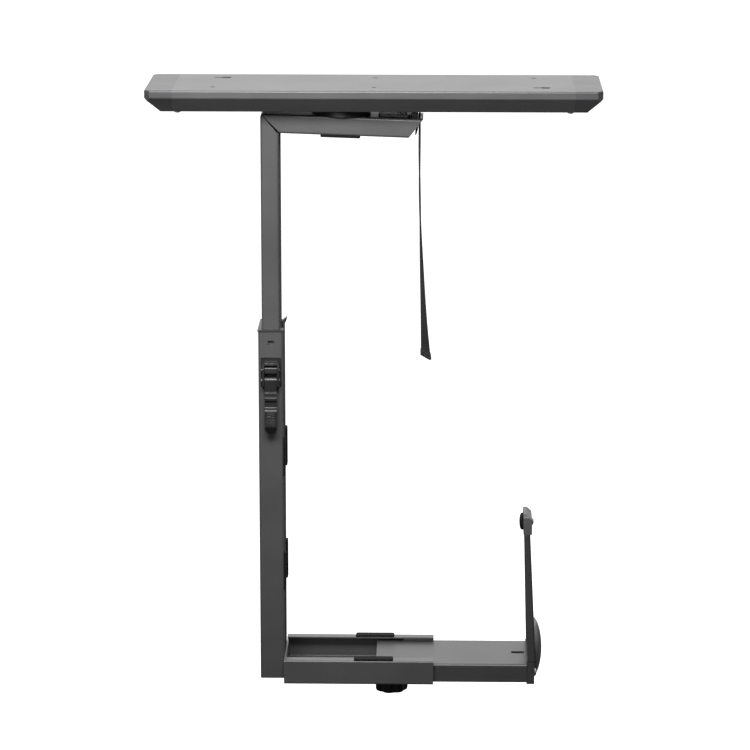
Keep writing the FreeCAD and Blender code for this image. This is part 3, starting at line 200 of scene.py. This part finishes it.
def plated_steel(name):
    """Zinc-plated steel with fine turning marks and a faint mottle."""
    s = Shader(name)
    lines = s.noise(700, 2.0, 0.5, (1.0, 1.0, 12.0))
    mottle = s.noise(220, 3.0)
    colour = s.mix(s.ramp(mottle, 0.0, 1.0), (0.42, 0.42, 0.43), (0.58, 0.58, 0.58))
    s.bump(lines, 0.012 * MM, 0.25 * MM)
    return s.finish(colour, s.ramp(mottle, 0.26, 0.42), Metallic=1.0)


def turned_brass(name):
    s = Shader(name)
    lines = s.noise(900, 2.0, 0.5, (1.0, 1.0, 14.0))
    tint = s.mix(s.ramp(lines, 0.0, 1.0), (0.62, 0.42, 0.16), (0.78, 0.57, 0.26))
    s.bump(lines, 0.012 * MM, 0.2 * MM)
    return s.finish(tint, s.ramp(lines, 0.24, 0.38), Metallic=1.0)


def woven_webbing(name, shade=0.012):
    """Twill webbing: ribs along the strap and picks across it, laid by the strap's own UVs."""
    s = Shader(name)
    uv = s.node("ShaderNodeTexCoord").outputs["UV"]

    def threads(pitch, turn, slant):
        """Rows of threads at a pitch in metres; UVs are in metres."""
        lay = s.node("ShaderNodeMapping")
        lay.inputs["Rotation"].default_value = (0.0, 0.0, turn)
        s.link(uv, lay.inputs["Vector"])
        wave = s.node("ShaderNodeTexWave", wave_type="BANDS", bands_direction="X")
        wave.inputs["Scale"].default_value = 0.314 / pitch
        wave.inputs["Distortion"].default_value = slant
        s.link(lay.outputs["Vector"], wave.inputs["Vector"])
        return wave.outputs["Fac"]

    warp = threads(1.1 * MM, 0.0, 0.3)
    weft = threads(0.8 * MM, math.radians(90), 0.6)
    twill = threads(2.2 * MM, math.radians(38), 0.2)
    relief = s.math("ADD", s.math("MULTIPLY", warp, weft), s.math("MULTIPLY", twill, 0.6))
    fuzz = s.noise(3200, 2.0, 0.7)
    # The weave's relief is painted into the colour as well: darker in the grooves and lighter on
    # the thread tops, a painted shade and highlight.
    colour = s.mix(s.ramp(relief, 0.0, 1.0, 0.1, 1.2), (shade * 0.5,) * 3, (shade * 1.9,) * 3)
    s.bump(s.math("ADD", relief, s.math("MULTIPLY", fuzz, 0.3)), 0.16 * MM)
    return s.finish(colour, s.ramp(fuzz, 0.62, 0.85), IOR=1.35)


def sewing_thread(name):
    s = Shader(name)
    ply = s.noise(2400, 2.0, 0.5, (3.0, 1.0, 1.0))
    # The ply's relief is painted into the colour as well: darker in its grooves and lighter on
    # its ridges, a painted shade and highlight.
    colour = s.mix(s.ramp(ply, 0.0, 1.0), (0.03,) * 3, (0.07,) * 3)
    s.bump(ply, 0.05 * MM)
    return s.finish(colour, s.ramp(ply, 0.5, 0.7), IOR=1.45)


MATERIALS = {
    "powder_coat": powder_coat("powder_coat"),
    "black_plastic": moulded_plastic("black_plastic", (0.024, 0.024, 0.026), 0.42),
    "black_steel": powder_coat("black_steel", 0.016, 0.34, 1100),
    "zinc_steel": plated_steel("zinc_steel"),
    "rubber": rubber("rubber", 0.006),
    "nylon": moulded_plastic("nylon", (0.62, 0.61, 0.56), 0.4, 700, 0.02),
    "brass": turned_brass("brass"),
    "webbing": woven_webbing("webbing"),
}
# Darker copies of the powder coat for the extension tray and for the clamp arm and foot: painted
# shade for the weaker light on these lower, set-back parts.
DARK_COAT = powder_coat("dark_powder_coat", 0.038, 0.4)
CLAMP_COAT = powder_coat("clamp_powder_coat", 0.015, 0.46)
# A darker copy of the black steel coat for the lock bracket, cam lever and its ribs: painted
# shade for the lock's recessed window.
LOCK_COAT = powder_coat("lock_powder_coat", 0.008, 0.36, 1100)
CAP_PLASTIC = moulded_plastic("cap_plastic", (0.047, 0.047, 0.049), 0.4)
KNOB_PLASTIC = moulded_plastic("knob_plastic", (0.008, 0.008, 0.009), 0.5)
THREAD = sewing_thread("thread")
SPECIAL = {
    "extension_tray": DARK_COAT,
    "clamp_arm": CLAMP_COAT,
    "clamp_foot": CLAMP_COAT,
    "lock_bracket": LOCK_COAT,
    "cam_lever": LOCK_COAT,
    "end_cap_left": CAP_PLASTIC,
    "end_cap_right": CAP_PLASTIC,
    "clamp_head": CAP_PLASTIC,
}


def dress_frame():
    """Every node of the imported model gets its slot's material, or a special one."""
    slots = {part["node"]: part["material_slot"] for part in frame["record"]["subparts"]}
    for name, item in frame["nodes"].items():
        if not item.material_slots:
            item.data.materials.append(None)
        for place in item.material_slots:
            place.link = "OBJECT"
            place.material = SPECIAL.get(name, MATERIALS[slots[name]])


# Mesh helpers


def new_piece(name, points, faces, material, body, sharp=35):
    """A smooth-shaded closed piece that rides on a body."""
    mesh = bpy.data.meshes.new(name)
    mesh.from_pydata([tuple(p) for p in points], [], faces)
    shell = bmesh.new()
    shell.from_mesh(mesh)
    bmesh.ops.recalc_face_normals(shell, faces=shell.faces)
    shell.to_mesh(mesh)
    shell.free()
    mesh.shade_smooth()
    mesh.set_sharp_from_angle(angle=math.radians(sharp))
    mesh.materials.append(material)
    piece = bpy.data.objects.new(name, mesh)
    bpy.context.collection.objects.link(piece)
    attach(piece, body)
    return piece


class Shell:
    """Points and faces gathered from closed lofts."""

    def __init__(self):
        self.points = []
        self.faces = []

    def loft(self, rings):
        """Skin a row of equal rings and close both ends."""
        start = len(self.points)
        count = len(rings[0])
        for loop in rings:
            self.points += [Vector(p) for p in loop]
        for row in range(len(rings) - 1):
            low = start + row * count
            for i in range(count):
                j = (i + 1) % count
                self.faces.append((low + i, low + j, low + count + j, low + count + i))
        last = start + (len(rings) - 1) * count
        self.faces.append(tuple(start + i for i in reversed(range(count))))
        self.faces.append(tuple(last + i for i in range(count)))

    def piece(self, name, material, slot, body, sharp=35):
        return new_piece(name, self.points, self.faces, material, body, sharp)


def rounded_loop(half_u, half_v, radius, steps=6):
    """A rounded rectangle's (u, v) points."""
    loop = []
    for quarter, (a, b) in enumerate(((1, 1), (-1, 1), (-1, -1), (1, -1))):
        centre_u = a * (half_u - radius)
        centre_v = b * (half_v - radius)
        for step in range(steps + 1):
            turn = math.radians(90 * (quarter + step / steps))
            loop.append((centre_u + radius * math.cos(turn), centre_v + radius * math.sin(turn)))
    return loop


def slab_rings(centre, u_way, v_way, half_u, half_v, radius, profile):
    """Rings of a rounded slab from a profile of (inset, height along the slab's normal)."""
    normal = u_way.cross(v_way)
    rings = []
    for inset, height in profile:
        corner = max(radius - inset, 0.15 * MM)
        loop = rounded_loop(half_u - inset, half_v - inset, corner)
        rings.append([centre + u_way * u + v_way * v + normal * height for u, v in loop])
    return rings


# Rubber pads: crowned strips with a soft edge


BASE_PAD_WIDTH = 11.0 * MM
SLEEVE_PAD_WIDTH = 12.0 * MM
SLEEVE_PAD_HEIGHT = 40.0 * MM
EDGE_PAD_WIDTH = 6.0 * MM
EDGE_PAD_THICK = 2.6 * MM
EDGE_PAD_HALF_LENGTH = 19.5 * MM
PAD_CORNER = 2.0 * MM

def pad_profile(thick):
    return [
        (0.25 * MM, 0.0),
        (0.0, 0.2 * MM),
        (0.0, thick * 0.55),
        (0.15 * MM, thick * 0.75),
        (0.5 * MM, thick * 0.9),
        (1.1 * MM, thick * 0.97),
        (2.4 * MM, thick),
        (3.2 * MM, thick * 0.99),
        (3.6 * MM, thick * 0.95),
        (4.0 * MM, thick * 0.95),
    ]


def middle(low, high):
    return (Vector(low) + Vector(high)) / 2


def make_base_pads():
    low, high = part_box("base_pads")
    width = BASE_PAD_WIDTH
    thick = high[2] - low[2]
    half_length = (high[0] - low[0]) / 2
    shell = Shell()
    for side in (-1, 1):
        centre = Vector((middle(low, high).x, side * (high[1] - width / 2), low[2]))
        ways = (Vector((1, 0, 0)), Vector((0, 1, 0)))
        size = (half_length, width / 2, PAD_CORNER)
        shell.loft(slab_rings(centre, *ways, *size, pad_profile(thick)))
    piece = shell.piece("base_pad_strips", MATERIALS["rubber"], "rubber", "lower_frame")
    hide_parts("base_pads")


def make_sleeve_pads():
    low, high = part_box("sleeve_pads")
    width = SLEEVE_PAD_WIDTH
    height = SLEEVE_PAD_HEIGHT
    thick = high[0] - low[0]
    shell = Shell()
    for side in (-1, 1):
        for z in (high[2] - height / 2, low[2] + height / 2):
            centre = Vector((low[0], side * (high[1] - width / 2), z))
            ways = (Vector((0, 1, 0)), Vector((0, 0, 1)))
            size = (width / 2, height / 2, PAD_CORNER)
            shell.loft(slab_rings(centre, *ways, *size, pad_profile(thick)))
    piece = shell.piece("sleeve_pad_strips", MATERIALS["rubber"], "rubber", "lower_frame")
    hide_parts("sleeve_pads")


ARM_TILT = math.atan(0.0336)


def make_arm_edge_pads():
    """Two strips under the arm's lips, along its slope."""
    low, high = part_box("arm_edge_pads")
    width = EDGE_PAD_WIDTH
    thick = EDGE_PAD_THICK
    shell = Shell()
    along = Vector((math.cos(ARM_TILT), 0, -math.sin(ARM_TILT)))
    for side in (-1, 1):
        across = Vector((0, -1, 0))
        down = along.cross(across)
        centre = Vector((middle(low, high).x, side * (high[1] - width / 2), middle(low, high).z))
        profile = pad_profile(thick)[:7]
        size = (EDGE_PAD_HALF_LENGTH, width / 2, 1.2 * MM)
        shell.loft(slab_rings(centre - down * thick / 2, along, across, *size, profile))
    piece = shell.piece("arm_edge_strips", MATERIALS["rubber"], "rubber", "upper_bracket")
    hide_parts("arm_edge_pads")


# Turned pieces


def turned_rings(centre, axis_u, axis_v, profile, steps=48, lobes=None):
    """Rings of (radius, height, lobe share) about a normal, where lobes gives a radius loss."""
    normal = axis_u.cross(axis_v)
    rings = []
    for radius, height, share in profile:
        loop = []
        for i in range(steps):
            turn = 2 * math.pi * i / steps
            reach = radius - (lobes(turn) * share if lobes else 0.0)
            spoke = axis_u * math.cos(turn) + axis_v * math.sin(turn)
            loop.append(centre + spoke * reach + normal * height)
        rings.append(loop)
    return rings


def make_bumper():
    """A soft domed disc with a moulded ring, on the clamp arm's head."""
    low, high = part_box("bumper_pad")
    radius = (high[1] - low[1]) / 2
    thick = high[0] - low[0]
    centre = Vector((high[0], 0.0, middle(low, high).z))
    sketch = (
        (0.97, 0.0), (1.0, 0.08), (1.0, 0.36), (0.97, 0.52), (0.88, 0.7), (0.76, 0.82),
        (0.66, 0.88), (0.61, 0.8), (0.56, 0.8), (0.51, 0.92), (0.35, 0.98), (0.15, 1.0),
    )
    profile = [(radius * r, thick * h, 0.0) for r, h in sketch]
    shell = Shell()
    shell.loft(turned_rings(centre, Vector((0, 0, 1)), Vector((0, 1, 0)), profile))
    piece = shell.piece("bumper_disc", MATERIALS["rubber"], "rubber", "extension")
    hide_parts("bumper_pad")


LOBES = 7
SCALLOP_DEPTH = 1.7 * MM
INSERT_RADIUS = 6.5 * MM
BORE_RADIUS = 4.08 * MM


def make_knob():
    """A lobed hand knob with rolled edges, a dished cap below and its bore above."""
    low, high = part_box("lock_knob")
    centre = Vector((middle(*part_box("knob_insert")).x, 0.0, high[2]))
    radius = (high[1] - low[1]) / 2
    tall = high[2] - low[2]

    def scallop(turn):
        return SCALLOP_DEPTH * (0.5 - 0.5 * math.cos(LOBES * turn)) ** 1.5

    sketch = [
        (5.0 * MM, tall - 1.6 * MM, 0.0),
        (9.4 * MM, tall - 1.6 * MM, 0.0),
        (10.2 * MM, tall - 1.1 * MM, 0.0),
        (10.6 * MM, tall - 0.3 * MM, 0.0),
        (11.4 * MM, tall, 0.2),
        (radius - 2.9 * MM, tall, 0.7),
        (radius - 1.3 * MM, tall - 0.35 * MM, 0.9),
        (radius - 0.4 * MM, tall - 1.2 * MM, 1.0),
        (radius, tall - 2.6 * MM, 1.0),
        (radius, 3.2 * MM, 1.0),
        (radius - 0.5 * MM, 1.4 * MM, 1.0),
        (radius - 1.6 * MM, 0.4 * MM, 0.9),
        (radius - 3.4 * MM, 0.0, 0.5),
        (9.5 * MM, 0.0, 0.0),
        (INSERT_RADIUS, 0.0, 0.0),
        (INSERT_RADIUS, 8.0 * MM, 0.0),
        (BORE_RADIUS, 8.0 * MM, 0.0),
        (BORE_RADIUS, 14.0 * MM, 0.0),
    ]
    profile = [(r, -h, share) for r, h, share in sketch]
    shell = Shell()
    ways = (Vector((1, 0, 0)), Vector((0, 1, 0)))
    shell.loft(turned_rings(centre, *ways, profile, 112, scallop))
    piece = shell.piece("hand_knob", KNOB_PLASTIC, "black_plastic", "lock_knob")
    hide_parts("lock_knob")


# Cam lever: moulded ribs on the grip


GRIP_RIBS = 9
RIB_PITCH = 1.6 * MM
RIB_HALF_LENGTH = 4.6 * MM
RIB_REACH = 0.2 * MM
RIB_HALF_HEIGHT = 0.35 * MM


def make_grip_ribs():
    low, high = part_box("cam_lever")
    centre_x = middle(low, high).x
    face = low[1] + 0.22 * MM
    first = low[2] + 21.6 * MM
    shell = Shell()
    for row in range(GRIP_RIBS):
        z = first - row * RIB_PITCH
        rings = []
        half = ((0.8, 1.0), (0.93, 0.8), (1.0, 0.2))
        for share, size in [(-a, b) for a, b in reversed(half)] + list(half):
            loop = []
            for i in range(10):
                turn = 2 * math.pi * i / 10
                y = face + RIB_REACH * size * math.cos(turn)
                rise = RIB_HALF_HEIGHT * size * math.sin(turn)
                loop.append((centre_x + RIB_HALF_LENGTH * share, y, z + rise))
            rings.append(loop)
        shell.loft(rings)
    # The ribs take the darker lock coat, which carries painted shade.
    shell.piece("lever_grip_ribs", LOCK_COAT, "black_steel", "cam_lever", 60)


# Strap: webbing folded over the clamp block, hanging on edge and turning towards its hem


STRAP_WIDTH = 25.0 * MM
STRAP_THICK = 1.7 * MM
HEM = 8.0 * MM
HEM_BULK = 1.7
STRAP_BEND = 2.0 * MM
STRAP_CLEARANCE = 1.75 * MM  # from the clamp block's side to the strap's middle
STRAP_OVERLAP = 0.6 * MM
STRAP_SWAY = 6.6 * MM
STRAP_TWIST = 21  # degrees
FLAT_STEPS = 8
BEND_STEPS = 8
FALL_STEPS = 90


def strap_route():
    """Stations of (point, lean, twist), where lean is 90 degrees lying flat and 0 hanging."""
    low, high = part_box("strap")
    block_low, block_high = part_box("strap_clamp")
    top = high[2] - STRAP_THICK / 2
    hang_x = block_high[0] + STRAP_CLEARANCE
    bend = STRAP_BEND
    stations = []
    start = block_low[0] - STRAP_OVERLAP
    for i in range(FLAT_STEPS):
        x = start + (hang_x - bend - start) * i / FLAT_STEPS
        stations.append((Vector((x, 0.0, top)), 90.0, 0.0))
    for i in range(BEND_STEPS + 1):
        turn = math.radians(90 * i / BEND_STEPS)
        x = hang_x - bend + bend * math.sin(turn)
        spot = Vector((x, 0.0, top - bend + bend * math.cos(turn)))
        stations.append((spot, 90.0 - math.degrees(turn), 0.0))
    fall = top - bend - low[2]
    for i in range(1, FALL_STEPS + 1):
        share = i / FALL_STEPS
        ripple = 0.7 * MM * math.sin(math.pi * share * 1.6) * (1 - share)
        sway = STRAP_SWAY * share ** 2.4 - ripple
        wobble = 2.2 * math.sin(2 * math.pi * share * 1.9) * (1 - share)
        twist = STRAP_TWIST * share ** 3 + wobble
        stations.append((Vector((hang_x + sway, 0.0, top - bend - fall * share)), 0.0, twist))
    return stations


def strap_frame(lean, twist):
    """Directions across the strap and through its thickness."""
    across = Matrix.Rotation(math.radians(twist), 3, "Z") @ Vector((0, 1, 0))
    through = Matrix.Rotation(math.radians(-lean), 3, "Y") @ Vector((1, 0, 0))
    return across, Matrix.Rotation(math.radians(twist), 3, "Z") @ through


def band_ring(spot, across, through, width, thick):
    """A flat band's section with soft selvages."""
    half = width / 2
    outline = (
        (-half, -thick * 0.2), (-half + 0.5 * MM, -thick / 2), (-half + 2 * MM, -thick * 0.44),
        (0.0, -thick * 0.46), (half - 2 * MM, -thick * 0.44), (half - 0.5 * MM, -thick / 2),
        (half, -thick * 0.2), (half, thick * 0.2), (half - 0.5 * MM, thick / 2),
        (half - 2 * MM, thick * 0.44), (0.0, thick * 0.46), (-half + 2 * MM, thick * 0.44),
        (-half + 0.5 * MM, thick / 2), (-half, thick * 0.2),
    )
    return [spot + across * a + through * b for a, b in outline]


def unroll(piece, stations, count):
    """UVs in metres: u across the strap and v along it."""
    lengths = [0.0]
    for before, after in zip(stations, stations[1:]):
        lengths.append(lengths[-1] + (after[0] - before[0]).length)
    layer = piece.data.uv_layers.new(name="weave")
    for loop in piece.data.loops:
        row = loop.vertex_index // count
        spot = piece.data.vertices[loop.vertex_index].co
        across = strap_frame(*stations[row][1:])[0]
        layer.data[loop.index].uv = ((spot - stations[row][0]).dot(across), lengths[row])
    return lengths[-1]


def make_strap():
    stations = strap_route()
    end = stations[-1][0].z
    rings = []
    for spot, lean, twist in stations:
        across, through = strap_frame(lean, twist)
        doubled = lean == 0.0 and spot.z < end + HEM
        thick = STRAP_THICK * (HEM_BULK if doubled else 1.0)
        rings.append(band_ring(spot, across, through, STRAP_WIDTH, thick))
    shell = Shell()
    shell.loft(rings)
    strap = shell.piece("hanging_strap", MATERIALS["webbing"], "webbing", "upper_bracket", 50)
    length = unroll(strap, stations, len(rings[0]))
    tail = make_strap_tail(stations)
    stitches = make_stitches(stations)
    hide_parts("strap")


TAIL_DROP = 12.0 * MM
TAIL_LENGTH = 11.5 * MM
TAIL_SPREAD = 2.6 * MM


def make_strap_tail(stations):
    """The strap's short sewn-back end, which stands off a little below the clamp."""
    bend_end = stations[FLAT_STEPS + BEND_STEPS][0]
    x = bend_end.x - STRAP_THICK
    top = bend_end.z - TAIL_DROP
    rings = []
    for i in range(9):
        share = i / 8
        spot = Vector((x - TAIL_SPREAD * share ** 1.5, 0.0, top - TAIL_LENGTH * share))
        lean = Matrix.Rotation(math.radians(14 * share), 3, "Y")
        through = lean @ Vector((1, 0, 0))
        thick = STRAP_THICK * (0.8 if i < 8 else 0.55)
        rings.append(band_ring(spot, Vector((0, 1, 0)), through, STRAP_WIDTH - 0.6 * MM, thick))
    shell = Shell()
    shell.loft(rings)
    return shell.piece("strap_tail", MATERIALS["webbing"], "webbing", "upper_bracket", 50)


def make_stitches(stations):
    """Two rows of lock stitches over the hem, on both faces."""
    end = stations[-1][0].z
    shell = Shell()
    for rise in (2.2 * MM, 6.4 * MM):
        spot, lean, twist = min(stations, key=lambda s: abs(s[0].z - end - rise))
        across, through = strap_frame(lean, twist)
        for face in (-1, 1):
            middle_spot = spot + through * face * STRAP_THICK * 0.83
            for i in range(-5, 6):
                centre = middle_spot + across * (i * 2.1 * MM)
                shell.loft(stitch_rings(centre, across, through))
    return shell.piece("strap_stitches", THREAD, "webbing", "upper_bracket", 60)


def stitch_rings(centre, along, out):
    side = along.cross(out)
    rings = []
    for share, size in ((-1.0, 0.35), (-0.7, 0.85), (0.0, 1.0), (0.7, 0.85), (1.0, 0.35)):
        loop = []
        for i in range(8):
            turn = 2 * math.pi * i / 8
            offset = out * math.cos(turn) + side * math.sin(turn)
            loop.append(centre + along * (0.8 * MM * share) + offset * (0.26 * MM * size))
        rings.append(loop)
    return rings


dress_frame()
make_base_pads()
make_sleeve_pads()
make_arm_edge_pads()
make_bumper()
make_knob()
make_grip_ribs()
make_strap()


# Stage: a pale floor, soft studio light and the camera

FLOOR_Z = -0.72
FLOOR_HALF = 40.0
SKY_BELOW = 0.06
SKY_FRONT = 0.16
SKY_BACK = 1.45


def make_floor():
    mesh = bpy.data.meshes.new("floor")
    signs = ((-1, -1), (1, -1), (1, 1), (-1, 1))
    corners = [(a * FLOOR_HALF, b * FLOOR_HALF, FLOOR_Z) for a, b in signs]
    mesh.from_pydata(corners, [], [(0, 1, 2, 3)])
    floor = bpy.data.objects.new("floor", mesh)
    bpy.context.collection.objects.link(floor)
    s = Shader("pale_floor")
    s.surface.inputs["Base Color"].default_value = (0.5, 0.5, 0.5, 1.0)
    s.surface.inputs["Roughness"].default_value = 0.9
    s.surface.inputs["Specular IOR Level"].default_value = 0.1
    s.surface.inputs["Emission Color"].default_value = (1.0, 1.0, 1.0, 1.0)
    s.surface.inputs["Emission Strength"].default_value = 0.85
    mesh.materials.append(s.material)
    floor.visible_diffuse = False
    floor.visible_glossy = False


def make_sky():
    """A studio surround: a bright backdrop behind, dimmer in front and dark below."""
    world = bpy.data.worlds.new("studio")
    bpy.context.scene.world = world
    world.use_nodes = True
    tree = world.node_tree
    tree.nodes.clear()
    way = tree.nodes.new("ShaderNodeTexCoord")
    split = tree.nodes.new("ShaderNodeSeparateXYZ")
    tree.links.new(way.outputs["Generated"], split.inputs[0])

    def graded(axis, start, end, low, high):
        item = tree.nodes.new("ShaderNodeMapRange")
        item.interpolation_type = "SMOOTHSTEP"
        item.inputs["From Min"].default_value = start
        item.inputs["From Max"].default_value = end
        item.inputs["To Min"].default_value = low
        item.inputs["To Max"].default_value = high
        tree.links.new(split.outputs[axis], item.inputs["Value"])
        return item.outputs["Result"]

    rise = graded("Z", -0.12, 0.12, SKY_BELOW, 1.0)
    depth = graded("Y", -0.3, 0.5, SKY_FRONT, SKY_BACK)
    product = tree.nodes.new("ShaderNodeMath")
    product.operation = "MULTIPLY"
    tree.links.new(rise, product.inputs[0])
    tree.links.new(depth, product.inputs[1])
    light = tree.nodes.new("ShaderNodeBackground")
    output = tree.nodes.new("ShaderNodeOutputWorld")
    tree.links.new(product.outputs[0], light.inputs["Color"])
    tree.links.new(light.outputs[0], output.inputs["Surface"])


def soft_box(name, place, target, size, power):
    data = bpy.data.lights.new(name, "AREA")
    data.shape = "RECTANGLE"
    data.size = size[0]
    data.size_y = size[1]
    data.energy = power
    lamp = bpy.data.objects.new(name, data)
    bpy.context.collection.objects.link(lamp)
    lamp.location = place
    lamp.rotation_euler = (Vector(target) - Vector(place)).to_track_quat("-Z", "Y").to_euler()
    lamp.visible_camera = False


CAMERA_DISTANCE = 3.426
CAMERA_AZIMUTH = math.radians(1.2)
CAMERA_ELEVATION = math.radians(13.0)
CAMERA_AIM = Vector((0.0004, 0.0, -0.2944))


def make_camera():
    data = bpy.data.cameras.new("camera")
    data.lens = 164.4
    data.sensor_width = 36.0
    data.clip_end = 100.0
    camera = bpy.data.objects.new("camera", data)
    bpy.context.collection.objects.link(camera)
    flat = math.cos(CAMERA_ELEVATION)
    side = math.sin(CAMERA_AZIMUTH) * flat
    front = -math.cos(CAMERA_AZIMUTH) * flat
    back = Vector((side, front, math.sin(CAMERA_ELEVATION)))
    camera.location = CAMERA_AIM + back * CAMERA_DISTANCE
    camera.rotation_euler = (-back).to_track_quat("-Z", "Y").to_euler()
    bpy.context.scene.camera = camera


make_floor()
make_sky()
soft_box("overhead", (0.0, 0.35, 1.1), (0.0, 0.0, 0.0), (1.0, 0.7), 8)
soft_box("key", (-0.1, -0.8, 0.42), (-0.05, 0.0, -0.15), (0.6, 0.35), 20)
soft_box("fill", (-0.4, -1.9, 0.0), (0.0, 0.0, -0.2), (1.2, 0.8), 5)
make_camera()
bpy.context.scene.view_settings.view_transform = "Standard"
